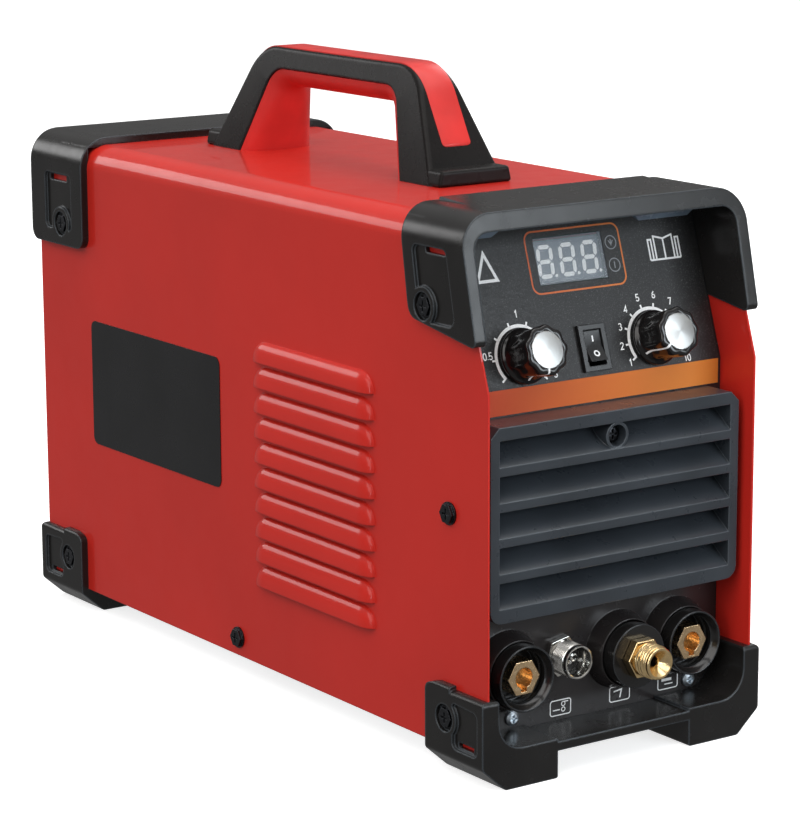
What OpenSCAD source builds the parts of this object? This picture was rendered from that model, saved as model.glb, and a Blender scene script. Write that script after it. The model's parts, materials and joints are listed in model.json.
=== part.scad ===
// Portable inverter TIG welder: painted steel cover on a base tray, moulded corner bumpers that
// carry the feet, a carrying handle, a tilted control panel under a hood, a louvred air grille
// and a row of connectors. X is the width, Y runs from front to back, Z is up. The origin is on
// the ground, under the middle of the machine.

/* [Case] */
// Width over the painted cover
body_w = 150; // [148:1:156]
// Length of the painted cover
body_l = 394; // [392:1:400]
// Height of the cover's flat top above the ground
top_z = 248; // [246:1:250]
// Height of the cover's lower edge above the ground
base_z = 13; // [12:0.5:13.5]
// Thickness of the cover's sheet
sheet_t = 1; // [0.8:0.1:1.2]
// Radius of the cover's two long top edges
edge_r = 12; // [10:1:14]
// Distance from the cover's ends to the front and rear panels
recess = 23; // [22:0.5:24]
// Lean of the control panel from vertical, in degrees
tilt = 18.2; // [16:0.2:20]

/* [Louvres] */
// Louvres pressed in each side
louvre_count = 10; // [6:1:10]
// Height from one louvre to the next
louvre_pitch = 12.1; // [11:0.1:12.5]
// Length of one louvre
louvre_len = 99.5; // [80:0.5:110]

/* [Bumpers] */
// How far the bumpers stand out from the cover's sides
bumper_t = 4; // [4:0.5:5]
// Length of each bumper's cheek along the cover
bumper_l = 43; // [40:1:46]

/* [Handle] */
// Height of the handle above the cover
handle_h = 53; // [50:1:58]
// Half length of the handle's top edge
handle_top = 67.8; // [64:0.2:72]
// Distance that the handle's middle lies behind the machine's middle
handle_y = 16; // [8:1:20]

/* [Controls] */
// Distance of each knob from the centre line
knob_x = 37; // [35:0.5:38]
// Radius of a control knob's grip
knob_r = 11.3; // [10.5:0.1:11.6]
// Angle that a switch rocker tips through, in degrees
rocker_throw = 20; // [14:1:22]

/* [Connectors] */
// Distance of each welding socket from the centre line
socket_x = 48; // [47:0.5:49]
// Height of the welding sockets above the ground
socket_z = 45; // [44:0.5:46]
// Radius of the pin that a welding socket takes
socket_bore_r = 4.7; // [4.6:0.1:5]
// Thread radius of the gas outlet
gas_thread_r = 8; // [7.5:0.1:8.5]

/* [Fan] */
// Side of the square cooling fan
fan_size = 120; // [118:1:120]
// Blades on the fan
fan_blades = 7; // [5:1:9]

/* [Hidden] */
$fn = 48;

// Case: derived places
front_y = -body_l / 2;
rear_y = body_l / 2;
inner_w = body_w - 2 * sheet_t;
inner_top = top_z - sheet_t;
panel_y = front_y + recess;
panel_t = 2.5;
knee_z = 172.5;
edge_knee_z = 176;
panel_run = 77;
rear_panel_y = rear_y - recess;
rear_panel_t = 1.5;
tray_t = 1.2;
tray_top = base_z + tray_t;
bumper_x = body_w / 2 + bumper_t;
eps = 0.01;
loose = 0.3;

// Fasteners
screw_r = 2;
screw_head_r = 5.2;
screw_hole_r = 2.3;
boss_r = 8.7;
boss_bore_r = 6.3;
boss_depth = 2.5;
arm_x = body_w / 2 - 2;
lining = 8.3;
side_screws = [[panel_y + 5, 119.8], [6.3, 22.2]];
low_screw = [-170, 28];
hood_screw = [-154.5, 209.4];
rear_top_screw = [168.5, 206];
screw_columns = [-45, 57];
panel_screw_z = 22.5;
grille_screw_z = 148.6;
guard_t = 3;

// Controls, measured up the tilted panel from its knee
knob_s = 12.8;
knob_h = 20;
shaft_r = 3;
shaft_bore_r = 3.05;
bush_r = 3.5;
pot_depth = 11.5;
shaft_top = 11.5;
knob_gap = 1.2;
cap_r = 8.35;
cap_t = 1.2;
window = [38, 21];
window_pos = [-0.5, 53.2];
switch_pos = [2.2, 12.3];
switch_size = [15, 21];
film_t = 0.4;

// Connectors
sleeve_r = 15;
sleeve_h = 16;
gas_x = 15;
gas_z = 44.5;
gas_stem = 18;
torch_x = -18;
torch_z = 47;

// Rear panel
fan_z = 88;
fan_open_r = 56;
fan_depth = 38;
inlet_x = 50;
inlet_z = 172;
power_switch_pos = [-34, 205];
power_switch_size = [25, 31];
gland_pos = [26, 206];
reach = 205;

// ---------- general shapes ----------

// One rounded corner at p, between its neighbours a and b.
function corner(p, a, b, r, n) =
    r == 0 ? [p] :
    let (u = (a - p) / norm(a - p), v = (b - p) / norm(b - p))
    let (half = acos(u * v) / 2, c = p + (u + v) / norm(u + v) * r / sin(half))
    let (s = p + u * r / tan(half) - c, e = p + v * r / tan(half) - c)
    let (a0 = atan2(s[1], s[0]), turn = atan2(e[1], e[0]) - a0)
    let (sweep = turn > 180 ? turn - 360 : turn < -180 ? turn + 360 : turn)
    [for (i = [0:n]) c + r * [cos(a0 + sweep * i / n), sin(a0 + sweep * i / n)]];

// An outline with its own radius at every point.
function rounded(pts, radii, n = 6) =
    [for (i = [0:len(pts) - 1])
        each corner(pts[i], pts[(i + len(pts) - 1) % len(pts)], pts[(i + 1) % len(pts)],
            radii[i], n)];

// Extrude an XZ outline along Y.
module along_y(y0, y1) translate([0, y1, 0]) rotate([90, 0, 0]) linear_extrude(y1 - y0) children();

// Extrude a YZ outline along X.
module along_x(x0, x1) translate([x0, 0, 0]) rotate([90, 0, 90]) linear_extrude(x1 - x0) children();

// Draw a thing on the right and its mirror image on the left.
module both_sides() {
    children();
    mirror([1, 0, 0]) children();
}

// Place on the right-hand side, with local z pointing out of the machine and local y up.
module on_side(x, y, z) translate([x, y, z]) rotate([90, 0, 90]) children();

// Place on the vertical part of the front, with local z pointing forwards and local y up.
module on_front(x, z, y = panel_y) translate([x, y, z]) rotate([90, 0, 0]) children();

// Place on the rear panel, with local z pointing backwards.
module on_rear(x, z, y = rear_panel_y) translate([x, y, z]) rotate([-90, 0, 0]) children();

// Place on the tilted control panel: s runs up the panel, local z points out of it.
module on_panel(x, s, h = 0) {
    translate([x, panel_y + s * sin(tilt), knee_z + s * cos(tilt)])
        rotate([90 - tilt, 0, 0]) translate([0, 0, h]) children();
}

// A tube standing on local z.
module tube(r_out, r_in, h) {
    difference() {
        cylinder(r = r_out, h = h);
        translate([0, 0, -1]) cylinder(r = r_in, h = h + 2);
    }
}

// A flat bar with square ends, centred on local x and y.
module plate(w, d, h) translate([-w / 2, -d / 2, 0]) cube([w, d, h]);

// Front outline of the case: upright sides and rounded top edges.
module case_outline(w, z0, z1, r) {
    translate([-w / 2, z0]) square([w, z1 - z0 - r]);
    translate([-w / 2 + r, z0]) square([w - 2 * r, z1 - z0]);
    for (s = [-1, 1]) translate([s * (w / 2 - r), z1 - r]) circle(r);
}

// Everything in front of the control panel's surface, offset back by h, down to the height z0.
module behind_panel(h, z0, z1) {
    bend = h * tan(tilt / 2);
    rise = z1 - knee_z;
    polygon([[panel_y + h, z0], [panel_y + h, knee_z - bend],
        [panel_y + h / cos(tilt) + rise * tan(tilt), z1], [panel_y + 120, z1], [panel_y + 120, z0]]);
}

// ---------- case ----------

// Quarter-round section of a louvre: height up the sheet, then stand-out from it.
function louvre_section(h, p, back) =
    concat([[0, -back]], [for (a = [0:15:90]) [h * sin(a), p * cos(a)]], [[h, -back]]);

// One louvre, from y0 along the side, opening downwards at local y = 0.
module louvre(h, p, back, inset) {
    section = louvre_section(h, p, back);
    end_r = h + inset;
    translate([end_r, 0, 0]) rotate([90, 0, 90])
        linear_extrude(louvre_len - 2 * end_r) polygon(section);
    translate([end_r, 0, 0]) rotate([0, 0, 90]) rotate_extrude(angle = 90) polygon(section);
    translate([louvre_len - end_r, 0, 0]) rotate_extrude(angle = 90) polygon(section);
}

louvre_h = 9.6;
louvre_p = bumper_t;
louvre_y = -111.5;
louvre_z = 54;

module louvre_row() {
    for (i = [0:louvre_count - 1])
        on_side(body_w / 2, louvre_y, louvre_z + i * louvre_pitch) children();
}

// The cover's front edge: upright, then leaning back like the control panel.
module cover_front_cut() {
    high = top_z + 5;
    along_x(-body_w, body_w)
        polygon([[front_y - 1, edge_knee_z], [front_y, edge_knee_z],
            [front_y + (high - edge_knee_z) * tan(tilt), high], [front_y - 1, high]]);
}

// Space that the cover's sheet takes inside a bumper, slightly open at the rounded edges.
module cover_slot(y0, y1) {
    along_y(y0, y1) difference() {
        case_outline(body_w, base_z, top_z, edge_r - loose);
        case_outline(inner_w, base_z - 1, inner_top, edge_r - sheet_t + loose);
    }
}

module shell_cover() {
    color("firebrick") difference() {
        union() {
            along_y(front_y, rear_y) difference() {
                case_outline(body_w, base_z, top_z, edge_r);
                case_outline(inner_w, base_z - 1, inner_top, edge_r - sheet_t);
            }
            both_sides() louvre_row() louvre(louvre_h, louvre_p, sheet_t / 2, 0);
        }
        cover_front_cut();
        both_sides() louvre_row() translate([0, -0.3, 0])
            louvre(louvre_h - sheet_t, louvre_p - sheet_t, 2 * sheet_t, sheet_t);
        both_sides() screw_places() cylinder(r = screw_hole_r, h = 20, center = true);
        for (s = [-1, 1]) translate([0, handle_y + s * handle_bolt, top_z - 5])
            cylinder(r = 3.2, h = 10);
    }
}

module base_tray() {
    flange_h = 20;
    lip_h = 14;
    vent = [60, 5];
    tray_y = panel_y + panel_t;
    tray_l = rear_panel_y - rear_panel_t - tray_y;
    color("silver") difference() {
        union() {
            translate([-inner_w / 2, tray_y, base_z]) cube([inner_w, tray_l, tray_t]);
            both_sides() translate([inner_w / 2 - tray_t, tray_y, base_z])
                cube([tray_t, tray_l, flange_h]);
            for (y = [tray_y, tray_y + tray_l - tray_t])
                translate([-inner_w / 2, y, base_z]) cube([inner_w, tray_t, lip_h]);
        }
        for (x = screw_columns) on_front(x, panel_screw_z)
            cylinder(r = 1.9, h = 10, center = true);
        both_sides() screw_places() cylinder(r = screw_hole_r, h = 20, center = true);
        for (x = [-35, 35], i = [0:4])
            translate([x - vent[0] / 2, -40 + i * 12, base_z - 1]) cube([vent[0], vent[1], 4]);
    }
}

module side_labels() {
    outline = rounded([[20, 94], [145, 94], [145, 158.5], [20, 158.5]], [4, 4, 4, 4]);
    color("black") both_sides() along_x(body_w / 2, body_w / 2 + 0.4) polygon(outline);
}

// Places of the screws in the right-hand side of the cover, local z outwards.
module screw_places() {
    for (p = side_screws) on_side(body_w / 2, p[0], p[1]) children();
    for (p = [low_screw, [-low_screw[0], low_screw[1]], hood_screw, rear_top_screw])
        on_side(body_w / 2, p[0], p[1]) children();
}

// Black hexagon flange screw, head upwards from z = 0.
module hex_screw() {
    difference() {
        union() {
            cylinder(r = screw_head_r, h = 0.9);
            cylinder(r = 4.6, h = 2.3, $fn = 6);
            translate([0, 0, -9]) cylinder(r = screw_r, h = 9.5);
        }
        translate([0, 0, 1.5]) for (a = [0, 90]) rotate([0, 0, a]) plate(5, 1, 2);
    }
}

module case_screws() {
    bosses = [low_screw, [-low_screw[0], low_screw[1]], hood_screw, rear_top_screw];
    color("dimgray") both_sides() {
        for (p = side_screws) on_side(body_w / 2, p[0], p[1]) hex_screw();
        for (p = bosses) on_side(bumper_x - boss_depth, p[0], p[1]) hex_screw();
    }
}

module rear_panel() {
    vent = [3, 22];
    color("dimgray") difference() {
        along_y(rear_panel_y - rear_panel_t, rear_panel_y)
            case_outline(inner_w - 2 * loose, tray_top, inner_top - loose, edge_r - sheet_t);
        on_rear(0, fan_z) cylinder(r = fan_open_r, h = 10, center = true);
        on_rear(0, fan_z) for (a = [45:90:315]) rotate([0, 0, a])
            translate([74, 0, 0]) cylinder(r = 2.2, h = 10, center = true);
        on_rear(inlet_x, inlet_z) cylinder(r = 6.3, h = 10, center = true);
        on_rear(gland_pos[0], gland_pos[1]) cylinder(r = 9.3, h = 10, center = true);
        on_rear(power_switch_pos[0], power_switch_pos[1], rear_panel_y - 5)
            plate(power_switch_size[0] - 1.6, power_switch_size[1] - 1.6, 10);
        for (i = [0:5]) translate([-66 + i * 6, rear_panel_y - 5, 156]) cube([vent[0], 10, vent[1]]);
    }
}

// ---------- bumpers ----------

// Round boss for a screw on a cheek, with a sunken seat.
module boss_bore() {
    translate([0, 0, -boss_depth]) cylinder(r = boss_bore_r, h = 10);
    cylinder(r = screw_hole_r, h = 30, center = true);
}

// Recessed field on a cheek: the outline less the boss that stands in it.
module cheek_field(outline, boss) {
    difference() {
        along_x(bumper_x - 1.6, bumper_x + 1) polygon(outline);
        on_side(bumper_x, boss[0], boss[1]) cylinder(r = boss_r, h = 10, center = true);
    }
}

// Front cross-section of the lower bumper: cheeks, ramps, floor and the beam between the feet.
module low_bumper_section() {
    foot_in = 37.6;
    foot_out = 66.5;
    right = rounded([[foot_in, 0], [foot_out, 0], [bumper_x, 11], [bumper_x, 41.5], [70, 41],
        [70, 18], [foot_in, 18]], [1, 3, 3, 2.5, 1, 13, 0]);
    polygon(right);
    mirror([1, 0]) polygon(right);
    translate([-foot_in - eps, 12.5]) square([2 * foot_in + 2 * eps, 4.2]);
}

// Foot and cheek behind the panel line.
module low_bumper_side_section() {
    polygon(rounded([[37.6, 0], [66.5, 0], [bumper_x, 11], [bumper_x, 43], [body_w / 2, 43],
        [body_w / 2, base_z], [37.6, base_z]], [1, 3, 3, 2, 0, 0, 0]));
}

module lower_bumper() {
    face_y = front_y - 1.7;
    back_y = face_y + bumper_l;
    cheek = rounded([[face_y, -1], [face_y, 41.3], [-167.5, 44], [back_y, 41], [back_y, -1]],
        [0, 2.5, 8, 4, 0]);
    field = rounded([[-176, 36.5], [-194.5, 35.5], [-194.5, 15.5], [-176, 15.5]], [2, 3, 3, 3]);
    difference() {
        intersection() {
            union() {
                along_y(face_y, panel_y) low_bumper_section();
                both_sides() along_y(panel_y - eps, back_y) low_bumper_side_section();
            }
            along_x(-bumper_x - 1, bumper_x + 1) polygon(cheek);
        }
        cover_slot(front_y, back_y + 1);
        both_sides() {
            cheek_field(field, low_screw);
            along_x(body_w / 2 - 0.5, bumper_x + 1)
                polygon([[-190.5, 16.6], [-179, 16.6], [-179, 19], [-190.5, 19]]);
            on_side(bumper_x, low_screw[0], low_screw[1]) boss_bore();
        }
    }
}

module front_lower_bumper() color([0.16, 0.16, 0.17]) lower_bumper();

module rear_lower_bumper() color([0.16, 0.16, 0.17]) mirror([0, 1, 0]) lower_bumper();

module front_hood() {
    hood_top = top_z + bumper_t;
    lean = tan(13);
    low = 197;
    face = front_y + 3.1;
    side = rounded([[face, low - 1], [-144.3, 203.7], [-136.5, hood_top + 1],
        [face + (hood_top + 1 - low) * lean, hood_top + 1]], [2.5, 7, 0, 0]);
    field = rounded([[-146.5, 236], [-171.5, 236], [-178.5, 203], [-152, 203]], [3, 3, 4, 3]);
    slot = rounded([[-155, 233], [-170, 233], [-169.5, 235.6], [-154.5, 235.6]], [1, 1, 1, 1], 3);
    lip = [[-136.8, hood_top - 0.8], [-136.8, hood_top + 0.8], [-137.2, hood_top + 1.2],
        [-158, hood_top], [-160, hood_top - 0.8]];
    color([0.16, 0.16, 0.17]) difference() {
        union() {
            intersection() {
                along_y(face - 5, -130) difference() {
                    case_outline(2 * bumper_x, low - 10, hood_top, edge_r + bumper_t);
                    case_outline(2 * arm_x, low - 11, hood_top - lining, 8);
                }
                along_x(-bumper_x - 1, bumper_x + 1) polygon(side);
            }
            along_x(-57, 57) polygon(lip);
        }
        intersection() {
            cover_slot(front_y - 1, -120);
            along_x(-body_w, body_w)
                polygon([[front_y, 150], [front_y, edge_knee_z],
                    [front_y + (hood_top + 5 - edge_knee_z) * tan(tilt), hood_top + 5],
                    [-100, hood_top + 5], [-100, 150]]);
        }
        intersection() {
            along_x(-inner_w / 2, inner_w / 2) behind_panel(0, 150, hood_top);
            translate([-body_w, front_y, 150]) cube([2 * body_w, body_l, inner_top - 150]);
        }
        both_sides() {
            cheek_field(field, hood_screw);
            along_x(body_w / 2 - 0.5, bumper_x + 1) polygon(slot);
            on_side(bumper_x, hood_screw[0], hood_screw[1]) boss_bore();
        }
    }
}

module rear_upper_bumper() {
    cap_top = top_z + bumper_t;
    back = rear_y + 1.7;
    front = 146;
    side = rounded([[front, 195], [back, 195], [back, cap_top + 1], [front, cap_top + 1]],
        [6, 6, 3, 0]);
    field = rounded([[157, 232], [184, 232], [184, 203], [157, 203]], [3, 3, 3, 3]);
    color([0.16, 0.16, 0.17]) difference() {
        intersection() {
            along_y(front, back) difference() {
                case_outline(2 * bumper_x, 180, cap_top, edge_r + bumper_t);
                case_outline(2 * arm_x, 179, cap_top - lining, 8);
            }
            along_x(-bumper_x - 1, bumper_x + 1) polygon(side);
        }
        cover_slot(front - 1, rear_y);
        intersection() {
            translate([-inner_w / 2, front - 1, 150]) cube([inner_w, rear_panel_y - front + 1, 150]);
            translate([-body_w, front - 1, 150]) cube([2 * body_w, 100, inner_top - 150]);
        }
        both_sides() {
            cheek_field(field, rear_top_screw);
            along_x(body_w / 2 - 0.5, bumper_x + 1)
                polygon([[163.5, 228], [181, 228], [181, 231], [163.5, 231]]);
            on_side(bumper_x, rear_top_screw[0], rear_top_screw[1]) boss_bore();
        }
    }
}

// ---------- handle ----------

handle_bolt = 85;
handle_z1 = top_z + handle_h;
handle_foot_z = top_z + 8.5;
leg_lean = 24 / 44;
leg_in_lean = 17 / 42;

// Handle profile in Y and Z, mirrored about its middle: half points run from the front foot up.
function mirrored(half) =
    concat(half, [for (i = [len(half) - 1:-1:0]) [-half[i][0], half[i][1]]]);
function mirrored_r(half) = concat(half, [for (i = [len(half) - 1:-1:0]) half[i]]);

function arch(base_z, base_half, top_z, top_half, r) =
    rounded(mirrored([[-base_half, base_z], [-top_half, top_z]]), mirrored_r([0, r]), 8);

frame_outer = arch(top_z, handle_top + handle_h * leg_lean, handle_z1, handle_top, 25);
frame_inner = arch(top_z - 1, 70 + leg_in_lean, top_z + 42, 53, 13);
core_inner = arch(top_z - 2, 61 + 2 * leg_in_lean, top_z + 33, 46, 8);
strip_t = 1.8;
strip_half = 8;
strip_low = top_z + 16.5;
strip_inner = arch(top_z, handle_top + handle_h * leg_lean - 2.3, handle_z1 - strip_t,
    handle_top - 1.3, 23.5);

module handle_taper(half_low, half_high, z_low, z_high) {
    along_y(-100, 140)
        polygon([[-half_low, z_low], [half_low, z_low], [half_high, z_high], [-half_high, z_high]]);
}

module strip_band() {
    intersection() {
        translate([0, handle_y, 0]) along_x(-strip_half, strip_half) difference() {
            polygon(frame_outer);
            polygon(strip_inner);
        }
        translate([-50, -150, strip_low]) cube([100, 300, 100]);
    }
}

module handle_frame() {
    foot_half = 102.5;
    color([0.15, 0.15, 0.15]) difference() {
        union() {
            intersection() {
                translate([0, handle_y, 0]) along_x(-30, 30) difference() {
                    polygon(frame_outer);
                    polygon(frame_inner);
                }
                handle_taper(21.1, 8.6, top_z, handle_z1);
            }
            for (s = [-1, 1]) translate([0, handle_y + s * (foot_half + 72) / 2, top_z])
                plate(39.2, foot_half - 72, handle_foot_z - top_z);
        }
        strip_band();
        for (s = [-1, 1]) translate([0, handle_y + s * handle_bolt, top_z - 1])
            cylinder(r = 2.7, h = 16);
    }
}

module handle_strip() color("red") strip_band();

module handle_core() {
    color("red") intersection() {
        translate([0, handle_y, 0]) along_x(-30, 30) difference() {
            polygon(frame_inner);
            polygon(core_inner);
        }
        handle_taper(18, 8, top_z, top_z + 42.5);
    }
}

module handle_screws() {
    color("silver") for (s = [-1, 1]) translate([0, handle_y + s * handle_bolt, inner_top]) {
        translate([0, 0, -4]) cylinder(r = 4.6, h = 4, $fn = 6);
        cylinder(r = 2.4, h = 14);
    }
}

// ---------- front panel ----------

module front_panel() {
    bend = panel_t * tan(tilt / 2);
    end = [panel_y + panel_run * sin(tilt), knee_z + panel_run * cos(tilt)];
    inner_end = end + panel_t * [cos(tilt), -sin(tilt)];
    flange = [1.3, 16, 140];
    boss_h = 9;
    color([0.1, 0.1, 0.1]) difference() {
        union() {
            intersection() {
                along_x(-inner_w / 2, inner_w / 2)
                    polygon([[panel_y, tray_top], [panel_y, knee_z], end, inner_end,
                        [panel_y + panel_t, knee_z - bend], [panel_y + panel_t, tray_top]]);
                along_y(front_y, -100)
                    case_outline(inner_w - 0.2, base_z, inner_top - loose, edge_r - sheet_t);
            }
            both_sides() translate([inner_w / 2 - flange[0] - 0.1, panel_y + panel_t - eps, 34])
                cube([flange[0], flange[1] - panel_t, flange[2] - 34]);
            for (x = [-socket_x, socket_x]) on_front(x, socket_z)
                cylinder(r1 = 18.6, r2 = sleeve_r + 0.9, h = boss_h);
            on_front(gas_x, gas_z) cylinder(r1 = 18.2, r2 = sleeve_r + 0.9, h = boss_h);
        }
        for (x = [-socket_x, socket_x]) {
            on_front(x, socket_z) cylinder(r = sleeve_r + loose, h = 20);
            on_front(x, socket_z) translate([0, 0, -5]) cylinder(r = 12.5, h = 20);
        }
        on_front(gas_x, gas_z) cylinder(r = sleeve_r + loose, h = 20);
        on_front(gas_x, gas_z) translate([0, 0, -5]) cylinder(r = 5.5, h = 20);
        on_front(torch_x, torch_z) translate([0, 0, -5]) cylinder(r = 7.8, h = 10);
        translate([-62, panel_y - 5, 80]) cube([124, 10, 60]);
        for (x = screw_columns) on_front(x, panel_screw_z)
            cylinder(r = 1.9, h = 10, center = true);
        on_front(0, grille_screw_z) cylinder(r = 1.9, h = 10, center = true);
        on_panel(window_pos[0], window_pos[1], -5) plate(window[0] + 0.4, window[1] + 0.4, 10);
        for (x = [-knob_x, knob_x]) on_panel(x, knob_s, -5) cylinder(r = bush_r + loose, h = 10);
        on_panel(switch_pos[0], switch_pos[1], -5)
            plate(switch_size[0] - 1.6, switch_size[1] - 1.6, 10);
        both_sides() screw_places() cylinder(r = screw_hole_r, h = 20, center = true);
    }
}

module control_overlay() {
    bend = film_t * tan(tilt / 2);
    run = 73;
    low = 160.6;
    end = [panel_y + run * sin(tilt), knee_z + run * cos(tilt)];
    outer_end = end + film_t * [-cos(tilt), sin(tilt)];
    color([0.08, 0.08, 0.08]) difference() {
        intersection() {
            along_x(-arm_x, arm_x)
                polygon([[panel_y, low], [panel_y, knee_z], end, outer_end,
                    [panel_y - film_t, knee_z + bend], [panel_y - film_t, low]]);
            along_y(front_y, -100) case_outline(2 * arm_x - 1, base_z,
                top_z + bumper_t - lining - 0.5, 8);
        }
        on_panel(window_pos[0], window_pos[1], -5) plate(window[0] + 0.4, window[1] + 0.4, 10);
        for (x = [-knob_x, knob_x]) on_panel(x, knob_s, -5) cylinder(r = 5.8, h = 10);
        on_panel(switch_pos[0], switch_pos[1], -5)
            plate(switch_size[0] - 1.6, switch_size[1] - 1.6, 10);
    }
}

module display_lens() {
    color([0.75, 0.78, 0.8]) on_panel(window_pos[0], window_pos[1], -2.2)
        plate(window[0], window[1], 2.2 + film_t);
}

module digit_display() {
    color("dimgray") on_panel(window_pos[0], window_pos[1], -10.2) {
        plate(37.6, 19, 8);
        for (i = [-5:5]) for (s = [-1, 1]) translate([i * 2.54, s * 7.6, 10.2 - pot_depth])
            plate(0.5, 0.5, pot_depth - 10.2 + eps);
    }
}

module front_grille() {
    half = 69.8;
    z0 = 73.2;
    z1 = 160.3;
    face_y = -192;
    depth = panel_y - face_y;
    slots = 5;
    slot_pitch = 15.8;
    slot_h = 11.7;
    slot_half = 65;
    first = 79.6;
    rise = 14;
    outline = rounded([[-half, z0], [half, z0], [half, z1], [-half, z1]], [6, 6, 0, 0]);
    chamfer = 4.5;
    color([0.2, 0.21, 0.22]) difference() {
        union() {
            difference() {
                along_y(face_y, panel_y) polygon(outline);
                both_sides() along_y(face_y - 1, panel_y + 1)
                    polygon([[half - chamfer, z1], [half, z1 - chamfer], [half + 5, z1 - chamfer],
                        [half + 5, z1 + 5], [half - chamfer, z1 + 5]]);
                intersection() {
                    for (i = [0:slots - 1]) along_x(-slot_half, slot_half)
                        translate([0, first + i * slot_pitch])
                            polygon([[face_y - 1, 0], [face_y, 0], [panel_y + 1, rise],
                                [panel_y + 1, rise + slot_h], [face_y, slot_h],
                                [face_y - 1, slot_h]]);
                    translate([-slot_half, face_y - 2, z0])
                        cube([2 * slot_half, depth + 4, z1 - z0 - 4]);
                }
            }
            on_front(0, grille_screw_z, panel_y) cylinder(r = 6.2, h = depth - 0.5);
        }
        on_front(0, grille_screw_z, face_y + 6) cylinder(r = 4.9, h = 10);
        on_front(0, grille_screw_z) cylinder(r = 2, h = 40, center = true);
    }
}

// Cross-recessed pan-head screw, head upwards from z = 0.
module pan_screw(head_r, shank_r, length) {
    difference() {
        union() {
            cylinder(r = head_r, h = 1.2);
            translate([0, 0, 1.2 - eps]) cylinder(r1 = head_r, r2 = head_r * 0.6, h = 1);
            translate([0, 0, -length]) cylinder(r = shank_r, h = length + 0.5);
        }
        translate([0, 0, 1]) for (a = [0, 90]) rotate([0, 0, a]) plate(head_r * 1.1, 0.9, 3);
    }
}

module grille_screw() {
    color("dimgray") on_front(0, grille_screw_z, -186) pan_screw(4.2, 1.7, 18);
}

module panel_screws() {
    color("silver") for (x = screw_columns) on_front(x, panel_screw_z) pan_screw(3.4, 1.6, 6);
    color("silver") on_rear(0, fan_z) for (a = [45:90:315]) rotate([0, 0, a])
        translate([74, 0, guard_t]) pan_screw(3.6, 1.9, 10);
}

// ---------- controls ----------

// Knob with a skirt, a waist and a scalloped grip, standing on local z = 0.
module knob() {
    lobes = 9;
    scallop_r = 6.6;
    skirt_h = 2.4;
    waist_h = 4;
    tall = knob_h - knob_gap;
    difference() {
        union() {
            cylinder(r = knob_r + 1.2, h = skirt_h);
            translate([0, 0, skirt_h - eps])
                cylinder(r1 = knob_r + 0.4, r2 = knob_r - 0.8, h = waist_h + 2 * eps);
            translate([0, 0, skirt_h + waist_h]) difference() {
                cylinder(r = knob_r, h = tall - skirt_h - waist_h);
                for (i = [0:lobes - 1]) rotate([0, 0, (i + 0.5) * 360 / lobes])
                    translate([knob_r + scallop_r - 0.8, 0, -1]) cylinder(r = scallop_r, h = 20);
            }
        }
        translate([0, 0, -1]) cylinder(r = shaft_bore_r, h = 1 + shaft_top - knob_gap);
        translate([0, 0, -1]) cylinder(r = 5.6, h = 3.6);
        translate([0, 0, tall - cap_t]) cylinder(r = cap_r + 0.05, h = 5);
    }
}

module knob_at(x) on_panel(x, knob_s, knob_gap) knob();
module knob_cap_at(x) on_panel(x, knob_s, knob_h - cap_t) cylinder(r = cap_r, h = cap_t + 0.1);

module pot_shaft_at(x) {
    on_panel(x, knob_s, -pot_depth) cylinder(r = shaft_r, h = pot_depth + shaft_top);
}

// Potentiometer: can, bushing and the nut that clamps it to the panel.
module pot_at(x) {
    on_panel(x, knob_s, -pot_depth) difference() {
        union() {
            cylinder(r = 8.5, h = pot_depth - panel_t);
            cylinder(r = bush_r, h = pot_depth + 2.7);
            translate([0, 0, pot_depth]) cylinder(r = 5.4, h = 1.6, $fn = 6);
        }
        translate([0, 0, -1]) cylinder(r = shaft_bore_r, h = 20);
    }
}

module current_knob() color([0.07, 0.07, 0.07]) knob_at(knob_x);
module current_knob_cap() color("silver") knob_cap_at(knob_x);
module current_pot_shaft() color("silver") pot_shaft_at(knob_x);
module current_pot() color("gray") pot_at(knob_x);
module timer_knob() color([0.07, 0.07, 0.07]) knob_at(-knob_x);
module timer_knob_cap() color("silver") knob_cap_at(-knob_x);
module timer_pot_shaft() color("silver") pot_shaft_at(-knob_x);
module timer_pot() color("gray") pot_at(-knob_x);

// Frame of a rocker switch: bezel on the panel, hollow body behind it, a pivot pin across.
module switch_frame(w, h, body_depth, pivot) {
    bezel = 2;
    wall = 1.4;
    difference() {
        union() {
            plate(w, h, bezel);
            translate([0, 0, -body_depth]) plate(w - 2, h - 2, body_depth + eps);
        }
        translate([0, 0, -body_depth + 3]) plate(w - 2 * wall - 2.4, h - 2 * wall - 2, 40);
    }
    translate([-w / 2 + 1.4, 0, pivot]) rotate([0, 90, 0]) cylinder(r = 0.95, h = w - 2.8);
}

// Rocker: a shallow V tipped to one side, with a bore for its pivot pin.
module switch_rocker(w, h, pivot, tip) {
    wide = w - 6;
    long = (h - 6.6) / 2;
    translate([0, 0, pivot]) rotate([tip, 0, 0]) difference() {
        rotate([90, 0, 90]) translate([0, 0, -wide / 2]) linear_extrude(wide)
            polygon([[-long, 4.6], [0, 3.1], [long, 4.6], [long - 1, 0.6], [2.4, -2], [-2.4, -2],
                [-long + 1, 0.6]]);
        rotate([0, 90, 0]) cylinder(r = 1, h = 40, center = true);
    }
}

module mode_switch_frame() {
    color([0.09, 0.09, 0.09]) on_panel(switch_pos[0], switch_pos[1], film_t)
        switch_frame(switch_size[0], switch_size[1], 12, -2);
}

module mode_switch_rocker() {
    color([0.12, 0.12, 0.12]) on_panel(switch_pos[0], switch_pos[1], film_t)
        switch_rocker(switch_size[0], switch_size[1], -2, -rocker_throw / 2);
}

// ---------- connectors ----------

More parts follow.
